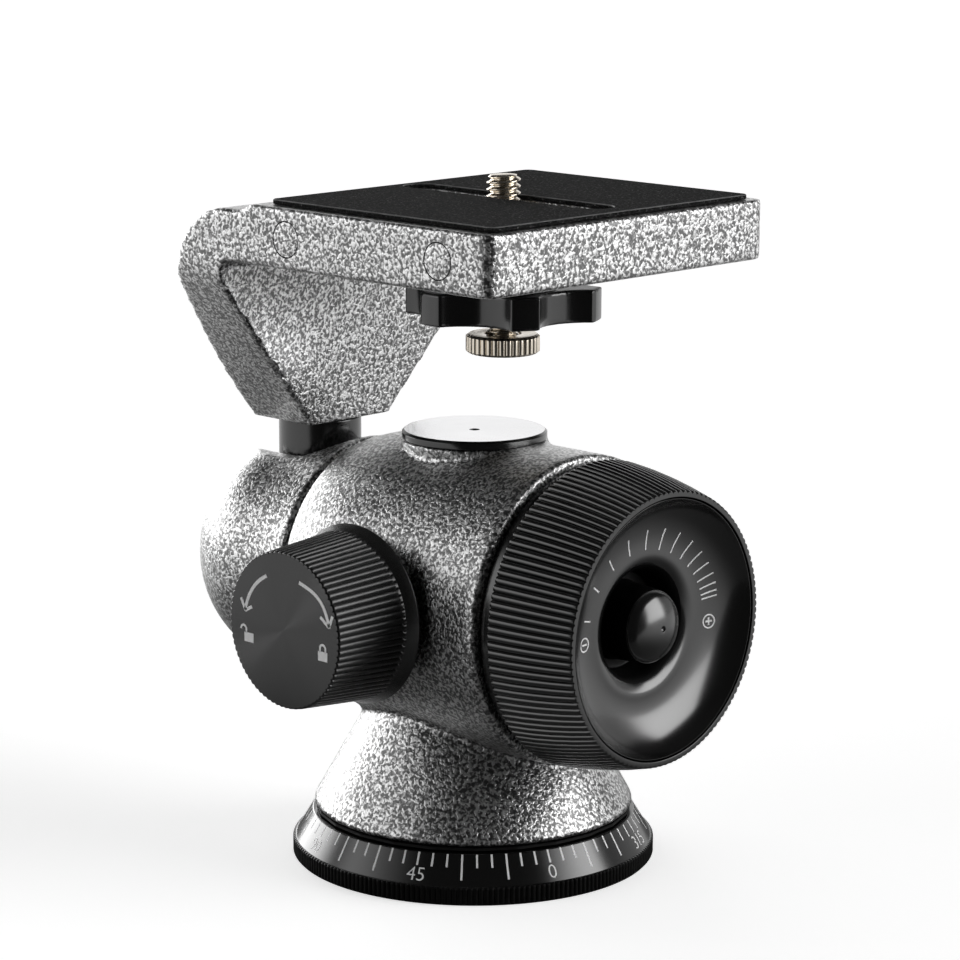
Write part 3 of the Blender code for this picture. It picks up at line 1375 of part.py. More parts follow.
def build():
    base = joint_empty("base_frame", (0, 0, 0))
    carry(
        base,
        make_base_ring(),
        make_tripod_socket(),
        make_pan_spindle(),
        make_glide_ring(),
        *make_base_screws(),
    )
    head = joint_empty("pan_axis", (0, 0, HOUSING_BOTTOM), base)
    carry(
        head,
        make_housing(),
        make_retaining_ring(),
        make_top_disc(),
        make_tilt_bush(),
        make_snap_ring(),
    )
    tilt_piston = joint_empty("tilt_piston_axis", (PISTON_LEFT_X, 0, TILT_HEIGHT), head)
    carry(tilt_piston, make_ball_cup(), make_piston())
    tilt_turn = joint_empty("tilt_knob_axis", (TILT_KNOB_REAR_X, 0, TILT_HEIGHT), tilt_piston)
    carry(tilt_turn, make_tilt_knob(), make_tilt_dial(), make_tilt_screw())
    pan_push = joint_empty("pan_wedge_axis", (0, -PAN_WEDGE_REAR, TILT_HEIGHT), head)
    carry(pan_push, make_pan_wedge())
    pan_turn = joint_empty("pan_knob_axis", (0, -PAN_KNOB_REAR, TILT_HEIGHT), pan_push)
    carry(pan_turn, make_pan_knob(), make_pan_screw())
    brake = joint_empty("pan_brake_axis", (0, -PAN_PIN_PLACE, CAVITY_TOP), head)
    carry(brake, make_pan_pin())
    cap = joint_empty("cap_axis", BALL_CENTRE, head)
    carry(cap, make_ball_cap())
    swing = joint_empty("ball_swing_axis", BALL_CENTRE, cap)
    carry(swing, make_ball())
    spin = joint_empty("platform_spin_axis", (BALL_X, 0, STEM_TOP), swing)
    carry(spin, make_stem(), make_stem_stud(), make_bracket(), *make_plugs(), make_pad())
    slide = joint_empty("slot_slide", (CAMERA_SCREW_CENTRE[0], 0, PLATFORM_UNDERSIDE), spin)
    carry(slide, make_slot_washer())
    nut = joint_empty("star_nut_axis", (CAMERA_SCREW_CENTRE[0], 0, NUT_TOP), slide)
    carry(nut, make_star_nut())
    screw = joint_empty("camera_screw_axis", (CAMERA_SCREW_CENTRE[0], 0, SCREW_KNOB_TOP), slide)
    carry(screw, make_camera_screw(), make_screw_knob())


build()
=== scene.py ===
"""The looks of a camera ball head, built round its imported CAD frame. Sizes are in millimetres."""

import json
import math

import bmesh
import bpy
import numpy as np
from mathutils import Euler, Matrix, Vector


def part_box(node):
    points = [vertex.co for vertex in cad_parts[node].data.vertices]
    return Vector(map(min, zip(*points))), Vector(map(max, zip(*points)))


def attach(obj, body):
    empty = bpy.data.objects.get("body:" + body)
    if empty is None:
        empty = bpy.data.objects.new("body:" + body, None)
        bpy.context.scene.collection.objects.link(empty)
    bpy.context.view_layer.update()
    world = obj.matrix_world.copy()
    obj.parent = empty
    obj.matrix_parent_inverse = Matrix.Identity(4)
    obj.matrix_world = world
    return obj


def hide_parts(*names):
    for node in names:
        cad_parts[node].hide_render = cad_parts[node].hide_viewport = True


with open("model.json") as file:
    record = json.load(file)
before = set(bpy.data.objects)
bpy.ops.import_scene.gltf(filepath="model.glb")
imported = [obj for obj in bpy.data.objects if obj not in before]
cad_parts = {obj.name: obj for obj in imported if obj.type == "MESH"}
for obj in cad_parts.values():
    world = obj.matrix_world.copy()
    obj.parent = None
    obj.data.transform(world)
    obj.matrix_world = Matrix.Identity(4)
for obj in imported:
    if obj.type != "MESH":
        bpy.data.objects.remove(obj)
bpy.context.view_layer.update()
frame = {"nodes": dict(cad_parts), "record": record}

MM = 0.001
BODY_OF = {
    node: body
    for body, nodes in frame["record"]["behaviour"]["bodies"].items()
    for node in nodes
}
SLOT_OF = {part["node"]: part["material_slot"] for part in frame["record"]["subparts"]}

# Main places of the object: Z is the pan axis, X the tilt axis, and the ball is at -X
TILT_Z = 52.6
BALL_X = -42.86
SCREW_X = BALL_X + 50.16
KNOB_FRONT = 48.9
PAN_FRONT = 49.57
BRACKET_Z = 80.4
STUD_BORE = 3.3
TILT_CENTRE = (0, 0, TILT_Z)
BALL_CENTRE = (BALL_X, 0, TILT_Z)
STEM_CENTRE = (BALL_X, 0, 0)
SCREW_CENTRE = (SCREW_X, 0, 0)
ALONG_Z = Euler((0, 0, 0))
ALONG_X = Euler((0, math.radians(90), 0))
ALONG_MINUS_Y = Euler((math.radians(90), 0, 0))

# How finely the pieces are made
TURNED_STEPS = 192
FILLET_STEPS = 4
HOUSING_GRAIN = 0.6
CAP_GRAIN = 0.46
BRACKET_GRAIN = 0.56
NUT_GRAIN = 0.36

# Edges stay sharp from these angles on, on plain pieces and on ridged ones
EDGE_ANGLE = 35
RIDGE_ANGLE = 50

# Corners more open than this aren't rounded, and a rounding takes at most this share of an edge
STRAIGHT_ANGLE = 178
EDGE_SHARE = 0.49

# A ridge's section is a half circle without its last edge: this share of its width
RIDGE_SHARE = 0.985


# Meshes
def add_object(name, points, faces, centre=(0, 0, 0), turn=ALONG_Z):
    """Points in millimetres from the centre, turned by an Euler turn about it."""
    data = bpy.data.meshes.new(name)
    data.from_pydata([tuple(c * MM for c in p) for p in points], [], faces)
    obj = bpy.data.objects.new(name, data)
    bpy.context.scene.collection.objects.link(obj)
    obj.location = Vector(centre) * MM
    obj.rotation_euler = turn
    bpy.context.view_layer.update()
    return obj


def tidy_normals(obj):
    shape = bmesh.new()
    shape.from_mesh(obj.data)
    bmesh.ops.recalc_face_normals(shape, faces=shape.faces)
    shape.to_mesh(obj.data)
    shape.free()
    return obj


def smooth(obj, sharp_angle=EDGE_ANGLE):
    obj.data.shade_smooth()
    obj.data.set_sharp_from_angle(angle=math.radians(sharp_angle))
    return obj


def weigh_normals(obj):
    """Keeps wide flat faces flat where small rounded edges meet them."""
    modifier = obj.modifiers.new("weighted_normals", "WEIGHTED_NORMAL")
    modifier.keep_sharp = True
    return obj


def bake(obj):
    """Puts what the modifiers make into the mesh itself."""
    bpy.context.view_layer.update()
    depsgraph = bpy.context.evaluated_depsgraph_get()
    made = bpy.data.meshes.new_from_object(obj.evaluated_get(depsgraph))
    old = obj.data
    obj.modifiers.clear()
    obj.data = made
    bpy.data.meshes.remove(old)
    return obj


def combine(obj, other, operation="DIFFERENCE"):
    modifier = obj.modifiers.new("combine", "BOOLEAN")
    modifier.operation = operation
    modifier.solver = "EXACT"
    modifier.object = other
    bake(obj)
    bpy.data.objects.remove(other, do_unlink=True)
    return obj


def soften(obj, grain, rounds):
    """Remakes a solid in small even faces and smooths it, so that its edges look cast."""
    remesh = obj.modifiers.new("remesh", "REMESH")
    remesh.mode = "VOXEL"
    remesh.voxel_size = grain * MM
    relax = obj.modifiers.new("relax", "SMOOTH")
    relax.factor = 0.5
    relax.iterations = rounds
    bake(obj)
    obj.data.shade_smooth()
    return obj


def keep_within(obj, node):
    """Holds every point inside the CAD node's box."""
    low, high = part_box(node)
    world = np.array(obj.matrix_world)
    count = len(obj.data.vertices)
    points = np.zeros(count * 3)
    obj.data.vertices.foreach_get("co", points)
    points = points.reshape(-1, 3) @ world[:3, :3].T + world[:3, 3]
    points = np.clip(points, np.array(low), np.array(high))
    points = (points - world[:3, 3]) @ world[:3, :3]
    obj.data.vertices.foreach_set("co", points.ravel())
    obj.data.update()
    return obj


def fillet(before, corner, after, radius):
    """Points of an arc that rounds a corner of a profile."""
    here = Vector(corner)
    back = Vector(before) - here
    ahead = Vector(after) - here
    bend = back.angle(ahead)
    if radius <= 0 or bend > math.radians(STRAIGHT_ANGLE):
        return [tuple(here)]
    longest = min(back.length * EDGE_SHARE, ahead.length * EDGE_SHARE)
    reach = min(radius / math.tan(bend / 2), longest)
    radius = reach * math.tan(bend / 2)
    back.normalize()
    ahead.normalize()
    middle = here + (back + ahead).normalized() * (radius / math.sin(bend / 2))
    first = here + back * reach - middle
    last = here + ahead * reach - middle
    sweep = first.angle(last)
    points = []
    for step in range(FILLET_STEPS + 1):
        share = step / FILLET_STEPS
        part = (first * math.sin((1 - share) * sweep) + last * math.sin(share * sweep)) / math.sin(sweep)
        points.append(tuple(middle + part))
    return points


def rounded(profile, closed):
    """Rounds the corners of a profile of (radius, height, corner radius, groove depth) points."""
    made = []
    count = len(profile)
    for index, spot in enumerate(profile):
        radius = spot[2] if len(spot) > 2 else 0
        depth = spot[3] if len(spot) > 3 else 0
        at_end = not closed and index in (0, count - 1)
        if at_end or radius == 0:
            made.append((spot[0], spot[1], depth))
            continue
        before = profile[index - 1][:2]
        after = profile[(index + 1) % count][:2]
        made.extend((*point, depth) for point in fillet(before, spot[:2], after, radius))
    return made


def crest(turn, ridges):
    """How deep into a groove a turn about the axis is: 0 on a ridge's crest, nearly 1 in a groove."""
    across = abs(2 * ((turn * ridges / math.tau) % 1) - 1)
    return 1 - math.sqrt(1 - (RIDGE_SHARE * across) ** 2)


def turned(name, profile, centre=(0, 0, 0), turn=ALONG_Z, steps=TURNED_STEPS, ridges=0, samples=8):
    """A solid turned about its own Z from a profile as rounded() takes it.

    A profile that starts away from the axis closes up into a ring. Ridges cut grooves as deep as
    the profile says, and samples is the number of steps to a ridge.
    """
    closed = profile[0][0] > 0
    if ridges:
        steps = ridges * samples
    spins = [math.tau * step / steps for step in range(steps)]
    sunk = [crest(spin, ridges) if ridges else 0 for spin in spins]
    points, rings = [], []
    for radius, height, depth in rounded(profile, closed):
        if radius == 0:
            rings.append([len(points)] * steps)
            points.append((0, 0, height))
            continue
        rings.append(list(range(len(points), len(points) + steps)))
        for spin, share in zip(spins, sunk):
            reach = radius - depth * share
            points.append((reach * math.cos(spin), reach * math.sin(spin), height))
    faces = []
    pairs = list(zip(rings, rings[1:])) + ([(rings[-1], rings[0])] if closed else [])
    for low, high in pairs:
        for step in range(steps):
            following = (step + 1) % steps
            corners = [low[step], low[following], high[following], high[step]]
            face = list(dict.fromkeys(corners))
            if len(face) > 2:
                faces.append(face)
    return tidy_normals(add_object(name, points, faces, centre, turn))


def prism(name, outline, low, high, axes="XY"):
    """A flat outline in the plane of two axes, drawn out from low to high along the third."""
    place = {
        "XY": lambda a, b, c: (a, b, c),
        "XZ": lambda a, b, c: (a, c, b),
        "YZ": lambda a, b, c: (c, a, b),
    }[axes]
    count = len(outline)
    points = [place(a, b, low) for a, b in outline] + [place(a, b, high) for a, b in outline]
    faces = [list(range(count)), list(range(2 * count - 1, count - 1, -1))]
    for index in range(count):
        following = (index + 1) % count
        faces.append([index, following, count + following, count + index])
    return tidy_normals(add_object(name, points, faces))


def arc(centre, radii, start, end, steps):
    """Points of an arc or a part of an ellipse, from start to end in degrees."""
    turns = [math.radians(start + (end - start) * step / steps) for step in range(steps + 1)]
    return [
        (centre[0] + radii[0] * math.cos(turn), centre[1] + radii[1] * math.sin(turn))
        for turn in turns
    ]


def circle(centre, radius, start=0, end=360, steps=28):
    return arc(centre, (radius, radius), start, end, steps)


def round_slot(start, end, half_width):
    """Outline of a slot along X with round ends."""
    left = circle((start + half_width, 0), half_width, 90, 270, 24)
    right = circle((end - half_width, 0), half_width, -90, 90, 24)
    return left + right


def rounded_plate(low, high, corner, steps=8):
    """Outline of a rectangle between two corner points, with round corners."""
    (left, front), (right, back) = low, high
    return [
        *circle((left + corner, front + corner), corner, 180, 270, steps),
        *circle((right - corner, front + corner), corner, 270, 360, steps),
        *circle((right - corner, back - corner), corner, 0, 90, steps),
        *circle((left + corner, back - corner), corner, 90, 180, steps),
    ]


def rod(name, radius, low, high, centre=(0, 0, 0), turn=ALONG_Z, edge=0.0, steps=96):
    profile = [(0, low), (radius, low, edge), (radius, high, edge), (0, high)]
    return turned(name, profile, centre, turn, steps)


# What a piece stands for and looks like
def stands_for(obj, node, material):
    obj.data.materials.clear()
    obj.data.materials.append(material)
    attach(obj, BODY_OF[node])
    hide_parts(node)
    return obj


def dress(obj, node, material, sharp_angle=EDGE_ANGLE, within=True):
    """Shades a machined piece and puts it in its CAD node's place."""
    smooth(obj, sharp_angle)
    weigh_normals(obj)
    if within:
        keep_within(obj, node)
    return stands_for(obj, node, material)


def in_ring(spot, inner, outer):
    return inner < math.hypot(spot.x, spot.y) < outer


def paint_faces(obj, material, chosen):
    """Gives a second material to the faces whose middle and normal, in the piece's axes, are chosen."""
    obj.data.materials.append(material)
    index = len(obj.data.materials) - 1
    for face in obj.data.polygons:
        if chosen(face.center / MM, face.normal):
            face.material_index = index
    return obj


def mark_on(obj, body):
    """White marks ride on the body that they are printed on."""
    obj.data.materials.append(WHITE)
    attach(obj, body)
    return obj


# Materials, with noise scales in cycles per metre and bump depths in metres
WORM_SCALE = 1600
WORM_DEPTH = 0.00010
TOOL_MARK_DEPTH = 0.00005
RUBBER_DEPTH = 0.0002


class Nodes:
    """Adds nodes to one material or world and joins them."""

    def __init__(self, owner):
        owner.use_nodes = True
        self.tree = owner.node_tree
        self.tree.nodes.clear()

    def add(self, kind, settings=None, **inputs):
        node = self.tree.nodes.new(kind)
        for key, value in (settings or {}).items():
            setattr(node, key, value)
        for key, value in inputs.items():
            self.set(node, key.replace("_", " "), value)
        return node

    def set(self, node, key, value):
        """Joins another node's socket to an input, or fixes its value. A key of digits counts the inputs."""
        socket = node.inputs[int(key)] if key.isdigit() else node.inputs[key]
        if isinstance(value, bpy.types.NodeSocket):
            self.tree.links.new(value, socket)
        else:
            socket.default_value = value

    def sum(self, operation, first, second=0.0, third=None):
        node = self.add("ShaderNodeMath", {"operation": operation})
        self.set(node, "0", first)
        self.set(node, "1", second)
        if third is not None:
            self.set(node, "2", third)
        return node.outputs[0]

    def rise(self, value, low, high):
        """0 below low and 1 above high, with a smooth step between."""
        settings = {"interpolation_type": "SMOOTHSTEP"}
        node = self.add("ShaderNodeMapRange", settings, Value=value, From_Min=low, From_Max=high)
        return node.outputs[0]

    def ramp(self, value, stops):
        """Colours at places from 0 to 1. A number stands for a grey."""
        node = self.tree.nodes.new("ShaderNodeValToRGB")
        self.set(node, "0", value)
        elements = node.color_ramp.elements
        while len(elements) < len(stops):
            elements.new(0.5)
        for element, (place, colour) in zip(elements, stops):
            element.position = place
            shade = (colour,) * 3 if isinstance(colour, (int, float)) else colour
            element.color = (*shade, 1)
        return node.outputs["Color"]

    def noise(self, where, scale, detail=2.0, roughness=0.5, distortion=0.0):
        node = self.add(
            "ShaderNodeTexNoise",
            Vector=where,
            Scale=scale,
            Detail=detail,
            Roughness=roughness,
            Distortion=distortion,
        )
        return node.outputs[0]

    def tool_marks(self, where, scale):
        """Noise that changes only outwards and along the turning axis."""
        parts = self.add("ShaderNodeSeparateXYZ")
        self.set(parts, "0", where)
        x, y, z = parts.outputs
        squares = self.sum("ADD", self.sum("MULTIPLY", x, x), self.sum("MULTIPLY", y, y))
        spot = self.add("ShaderNodeCombineXYZ", X=self.sum("SQRT", squares), Y=z)
        return self.noise(spot.outputs[0], scale, 2.0)


def new_material(name):
    made = bpy.data.materials.new(name)
    nodes = Nodes(made)
    shader = nodes.add("ShaderNodeBsdfPrincipled")
    nodes.add("ShaderNodeOutputMaterial", Surface=shader.outputs[0])
    where = nodes.add("ShaderNodeTexCoord").outputs["Object"]
    return made, nodes, shader, where


def roughen(nodes, shader, height, strength, depth):
    bump = nodes.add("ShaderNodeBump", Height=height, Strength=strength, Distance=depth)
    nodes.set(shader, "Normal", bump.outputs[0])


def brush_round(nodes, shader, amount):
    """Draws reflections out across the turning lines."""
    tangent = nodes.add("ShaderNodeTangent", {"direction_type": "RADIAL", "axis": "Z"})
    nodes.set(shader, "Tangent", tangent.outputs[0])
    nodes.set(shader, "Anisotropic", amount)


def clouded(nodes, shader, where, scale, low, high, detail=2.0):
    """Lets the base colour drift between two tones, and returns the noise that it follows."""
    cloud = nodes.noise(where, scale, detail)
    nodes.set(shader, "Base Color", nodes.ramp(cloud, [(0.3, low), (0.7, high)]))
    return cloud


def hammertone():
    """Black and silver paint that has drawn together into small worms, under a clear coat."""
    made, nodes, shader, where = new_material("hammertone")
    level = nodes.noise(where, WORM_SCALE, 0.8, 0.4, 0.6)
    tone = nodes.ramp(level, [(0.38, 0.05), (0.47, 0.18), (0.54, 0.46), (0.64, 0.70)])
    nodes.set(shader, "Base Color", tone)
    nodes.set(shader, "Metallic", 1.0)
    nodes.set(shader, "Roughness", nodes.sum("MULTIPLY_ADD", level, -0.16, 0.50))
    nodes.set(shader, "Coat Weight", 1.0)
    nodes.set(shader, "Coat Roughness", 0.3)
    nodes.set(shader, "Coat IOR", 1.7)
    roughen(nodes, shader, nodes.ramp(level, [(0.30, 0.0), (0.70, 1.0)]), 0.9, WORM_DEPTH)
    return made


def satin_black(name, roughness=0.18, lines=0.0, shine=0.85):
    """Black anodised metal with faint dust-fine grain, or turning lines where lines is above 0."""
    made, nodes, shader, where = new_material(name)
    cloud = nodes.noise(where, 120, 2.0)
    nodes.set(shader, "Base Color", nodes.sum("MULTIPLY_ADD", cloud, 0.002, 0.002))
    nodes.set(shader, "Roughness", nodes.sum("MULTIPLY_ADD", cloud, 0.06, roughness - 0.03))
    nodes.set(shader, "Specular IOR Level", shine)
    if lines:
        roughen(nodes, shader, nodes.tool_marks(where, 9000), 0.10, TOOL_MARK_DEPTH)
        brush_round(nodes, shader, lines)
    else:
        roughen(nodes, shader, nodes.noise(where, 5200, 1.0), 0.05, TOOL_MARK_DEPTH)
    return made


def bare_metal(name, colour, roughness, lines=0.0, tarnish=0.06):
    """Turned, plated or rolled metal, with brushed reflections where lines is above 0."""
    made, nodes, shader, where = new_material(name)
    dull = tuple(c * (1 - 3 * tarnish) for c in colour)
    cloud = clouded(nodes, shader, where, 180, dull, colour, 3.0)
    nodes.set(shader, "Metallic", 1.0)
    nodes.set(shader, "Roughness", nodes.sum("MULTIPLY_ADD", cloud, 0.08, roughness - 0.04))
    roughen(nodes, shader, nodes.tool_marks(where, 7000), 0.08 + 0.12 * lines, TOOL_MARK_DEPTH)
    if lines:
        brush_round(nodes, shader, lines)
    return made


def gloss_black():
    made, nodes, shader, where = new_material("gloss_black")
    cloud = clouded(nodes, shader, where, 90, 0.002, 0.004)
    nodes.set(shader, "Roughness", nodes.sum("MULTIPLY_ADD", cloud, 0.06, 0.20))
    nodes.set(shader, "Specular IOR Level", 0.8)
    nodes.set(shader, "Coat Weight", 0.3)
    nodes.set(shader, "Coat Roughness", 0.12)
    return made


def rubber():
    """Dull black rubber with pale specks."""
    made, nodes, shader, where = new_material("rubber")
    fine = nodes.noise(where, 2600, 2.0, 0.6)
    tone = nodes.ramp(fine, [(0.42, 0.008), (0.58, 0.022), (0.66, 0.06), (0.76, 0.22)])
    nodes.set(shader, "Base Color", tone)
    nodes.set(shader, "Roughness", 0.9)
    nodes.set(shader, "Specular IOR Level", 0.04)
    roughen(nodes, shader, fine, 0.6, RUBBER_DEPTH)
    return made


def dull_black(name, low, high, shine):
    """Edges and surfaces that catch little light, between two tones. It is the nylon's own finish; on the
    base's ridged band and the dial's groove it is painted shade, and on the pad's edge a painted highlight.
    """
    made, nodes, shader, where = new_material(name)
    cloud = clouded(nodes, shader, where, 400, low, high)
    nodes.set(shader, "Roughness", nodes.sum("MULTIPLY_ADD", cloud, 0.1, 0.4))
    nodes.set(shader, "Specular IOR Level", shine)
    return made


def printed(name, low, high):
    """Printed marks, slightly uneven in tone."""
    made, nodes, shader, where = new_material(name)
    clouded(nodes, shader, where, 1500, low, high)
    nodes.set(shader, "Roughness", 0.5)
    return made


HAMMERTONE = hammertone()
SATIN = satin_black("black_anodised")
SPUN = satin_black("black_anodised_spun", 0.25, 0.95, 0.65)
TURNED = bare_metal("turned_metal", (0.86, 0.86, 0.87), 0.22, 0.6, 0.02)
BRIGHT = bare_metal("turned_metal_bright", (0.82, 0.82, 0.83), 0.16, 0.4, 0.02)
NICKEL = bare_metal("nickel", (0.76, 0.69, 0.59), 0.20)
STEEL = bare_metal("steel", (0.55, 0.55, 0.57), 0.32)
BRASS = bare_metal("brass", (0.72, 0.53, 0.25), 0.34)
GLOSS = gloss_black()
# Low-shine black laid where shade falls: painted shade on the base's ridged band and the dial's groove
SHADE_BLACK = dull_black("painted_shade_black", 0.001, 0.003, 0.12)
RUBBER = rubber()
# Pale rubber for the pad's upper edge: a painted highlight
RUBBER_HIGHLIGHT = dull_black("rubber_painted_highlight", 0.06, 0.16, 0.2)
NYLON = dull_black("nylon", 0.004, 0.008, 0.2)
WHITE = printed("white_marks", 0.90, 0.96)

# What each slot of the record looks like
PLAIN = {
    "hammertone": HAMMERTONE,
    "black_anodised": SATIN,
    "gloss_black": GLOSS,
    "turned_metal": TURNED,
    "nickel": NICKEL,
    "steel": STEEL,
    "brass": BRASS,
    "rubber": RUBBER,
    "nylon": NYLON,
}

for node, obj in frame["nodes"].items():
    obj.data.materials.clear()
    obj.data.materials.append(PLAIN[SLOT_OF[node]])


# Base
SCALE_BOTTOM = (34.4, 3.55)
SCALE_TOP = (31.1, 8.9)
SCALE_SLANT = math.hypot(SCALE_TOP[0] - SCALE_BOTTOM[0], SCALE_TOP[1] - SCALE_BOTTOM[1])
BASE_RIDGES = 220
RIDGES_TOP = 3.45


def make_base():
    profile = [
        (16.3, 8.9, 0.2),
        (*SCALE_TOP, 0.35),
        (*SCALE_BOTTOM, 0.08),
        (34.75, 3.5, 0.12, 0.32),
        (35.0, 3.25, 0.1, 0.34),
        (35.0, 0.5, 0.15, 0.34),
        (34.5, 0.0, 0.1, 0.0),
        (32.5, 0.0, 0.1),
        (32.0, 0.5, 0.1),
        (19.0, 0.5, 0.1),
        (18.5, 0.0, 0.1),
        (7.3, 0.0, 0.15),
        (7.3, 5.3),
        (9.8, 5.3),
        (9.8, 7.9),
        (16.3, 7.9),
    ]
    base = turned("base_plate", profile, ridges=BASE_RIDGES, samples=5)
    hole = [(0, 12), (1.8, 12), (1.8, 3.3), (3.1, 3.3), (3.1, -2), (0, -2)]
    for index in (1, 2, 3):
        low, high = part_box(f"base_screw_{index}")
        middle = (low + high) / 2 / MM
        combine(base, turned(f"base_screw_hole_{index}", hole, (middle.x, middle.y, 0), steps=48))
    dress(base, "base_ring", SATIN, RIDGE_ANGLE)
    # The ridged lower band gets the low-shine black, which reads darker: painted shade
    paint_faces(base, SHADE_BLACK, lambda middle, normal: middle.z < RIDGES_TOP)


# Housing
BOSS_TOP = 81.65
BOSS_RADIUS = 14.1
BOSS_NECK = 12.3
SHOULDER_STEPS = 24
FLARE_STEPS = 12


def make_housing():
    """A barrel along the tilt axis, a cone below it, a boss on top and one for the small knob."""
    shoulder = [
        (29.3 - 3.9 * (step / SHOULDER_STEPS) ** 2, -5 - 21.6 * step / SHOULDER_STEPS)
        for step in range(SHOULDER_STEPS)
    ]
    shell = [(0, 28.0), (29.2, 28.0, 0.5), (29.3, 26.5), *shoulder, (25.4, -26.6, 0.5), (0, -26.6)]
    barrel = turned("housing_shell", shell, TILT_CENTRE, ALONG_X)
    cone = turned("cone", [(0, 35.0), (17.4, 35.0), (31.3, 10.0, 0.6), (0, 10.0)])
    flare = [
        (
            BOSS_RADIUS - 1.8 * (1 - math.cos(math.radians(90 * step / FLARE_STEPS))),
            BOSS_TOP - 3 * step / FLARE_STEPS,
        )
        for step in range(1, FLARE_STEPS + 1)
    ]
    boss = [(0, BOSS_TOP), (BOSS_RADIUS, BOSS_TOP, 0.3), *flare, (BOSS_NECK, 69.0), (0, 69.0)]
    top_boss = turned("top_boss", boss)
    boss = [(0, 30.0), (13.0, 30.0, 0.5), (13.0, 17.0), (0, 17.0)]
    pan_boss = turned("pan_boss", boss, TILT_CENTRE, ALONG_MINUS_Y)
    for piece in (cone, top_boss, pan_boss):
        combine(barrel, piece, "UNION")
    foot = [(0, 20.3), (22.3, 20.3), (22.3, 15.5), (23.8, 15.5), (23.8, 5), (0, 5)]
    bore = [
        (0, 35),
        (18.3, 35),
        (18.3, 10.3),
        (11.8, 10.3),
        (11.8, -17.7),
        (22.8, -17.7),
        (22.8, -35),
        (0, -35),
    ]
    combine(barrel, turned("foot_space", foot))
    combine(barrel, turned("tilt_bore", bore, TILT_CENTRE, ALONG_X))
    combine(barrel, rod("disc_seat", 14.14, BOSS_TOP, 90))
    combine(barrel, rod("spigot_bore", 5.3, 76.9, 90))
    combine(barrel, rod("pan_screw_bore", 3.3, 12.0, 40, TILT_CENTRE, ALONG_MINUS_Y))
    soften(barrel, HOUSING_GRAIN, 4)
    keep_within(barrel, "housing")
    stands_for(barrel, "housing", HAMMERTONE)


def make_top_disc():
    """A black disc with a bright turned face and a small dip in its middle."""
    profile = [
        (0, 82.2),
        (0.75, 82.6, 0.1),
        (0.95, 83.05, 0.1),
        (13.0, 83.30, 0.05),
        (13.34, 83.30, 0.08),
        (13.84, 82.85, 0.12),
        (13.84, 81.75, 0.1),
        (5.0, 81.75),
        (5.0, 77.25, 0.3),
        (0, 77.25),
    ]
    disc = turned("top_disc_turned", profile)
    dress(disc, "top_disc", SATIN, 30, within=False)
    paint_faces(disc, BRIGHT, lambda middle, normal: in_ring(middle, 1, 13.36) and middle.z > 83)


# Tilt-lock knob, its collar and dial
KNOB_RIDGES = 120
DIAL_STEPS = 256
DIAL_RADIUS = 24.2
DISH = [
    (13.4, -5.3), (14.5, -5.28), (16.0, -5.12), (17.5, -4.85), (19.0, -4.42),
    (20.5, -3.8), (22.0, -2.85), (23.2, -1.6), (DIAL_RADIUS, 0.0),
]


def dish_curve(steps=40):
    """The dish's (radius, height) points, smoothed through the measured ones."""
    radii = np.array([r for r, _ in DISH])
    heights = np.array([h for _, h in DISH])
    fit = np.polyfit(radii, heights, 5)
    fine = np.linspace(radii[0], radii[-1], steps)
    return fine, np.polyval(fit, fine)


DISH_R, DISH_H = dish_curve()


def make_tilt_knob():
    profile = [
        (5.3, 31.0),
        (27.9, 31.0, 0.2),
        (28.95, 31.2, 0.25, 0.6),
        (28.9, 32.0, 0.0, 0.66),
        (28.45, 36.0, 0.0, 0.68),
        (27.75, 40.2, 0.0, 0.68),
        (26.85, 44.4, 0.0, 0.66),
        (25.95, 47.8, 0.0, 0.62),
        (25.75, 48.6, 0.0, 0.55),
        (25.55, KNOB_FRONT, 0.0, 0.45),
        (24.5, KNOB_FRONT, 0.1),
        (24.5, 47.7),
        (19.0, 42.1),
        (13.7, 42.1),
        (13.7, 35.3),
        (5.3, 35.3),
    ]
    knob = turned("tilt_lock_grip", profile, TILT_CENTRE, ALONG_X, ridges=KNOB_RIDGES)
    dress(knob, "tilt_knob", SATIN, RIDGE_ANGLE)


def make_tilt_dial():
    """A dome in the middle, a groove round it that is painted dark as shade, and the dish outside. Heights
    are from the front.
    """
    reaches = (1.2, 2.2, 3.2, 4.1, 4.9, 5.6, 6.1)
    dome = [(reach, -0.75 - 2.0 * (reach / 6.6) ** 2.3) for reach in reaches]
    lip = arc((13.4, -9.1), (3.7, 3.8), 180, 90, 14)
    points = [
        (0, -1.25),
        (0.35, -1.0, 0.05),
        (0.62, -0.76, 0.1),
        *dome,
        (6.85, -3.5, 1.0),
        (7.4, -12.0, 0.3),
        (9.3, -12.0, 0.5),
        *lip,
        *zip(DISH_R[2:-1], DISH_H[2:-1]),
        (DIAL_RADIUS, -0.02, 0.1),
        (DIAL_RADIUS, -0.9),
        (18.7, -6.5),
        (13.4, -6.5),
        (13.4, -13.3),
        (0, -13.3),
    ]
    profile = [(r, h + KNOB_FRONT, *rest) for r, h, *rest in points]
    dial = turned("tilt_dial_face", profile, TILT_CENTRE, ALONG_X, DIAL_STEPS)
    dress(dial, "tilt_dial", GLOSS)
    # The groove round the dome gets the low-shine black, which reads darker: painted shade in the recess
    groove_top = KNOB_FRONT - 6.2
    paint_faces(
        dial, SHADE_BLACK, lambda middle, normal: in_ring(middle, 6.7, 11.2) and middle.z < groove_top
    )


def make_tilt_collar():
    profile = [
        (5.3, 30.7),
        (27.5, 30.7, 0.5),
        (27.5, 28.3, 0.3),
        (18.0, 28.3),
        (18.0, 10.6),
        (5.3, 10.6),
    ]
    collar = turned("tilt_collar", profile, TILT_CENTRE, ALONG_X)
    dress(collar, "tilt_bush", SATIN, within=False)


# Pan-lock knob
PAN_RIDGES = 75


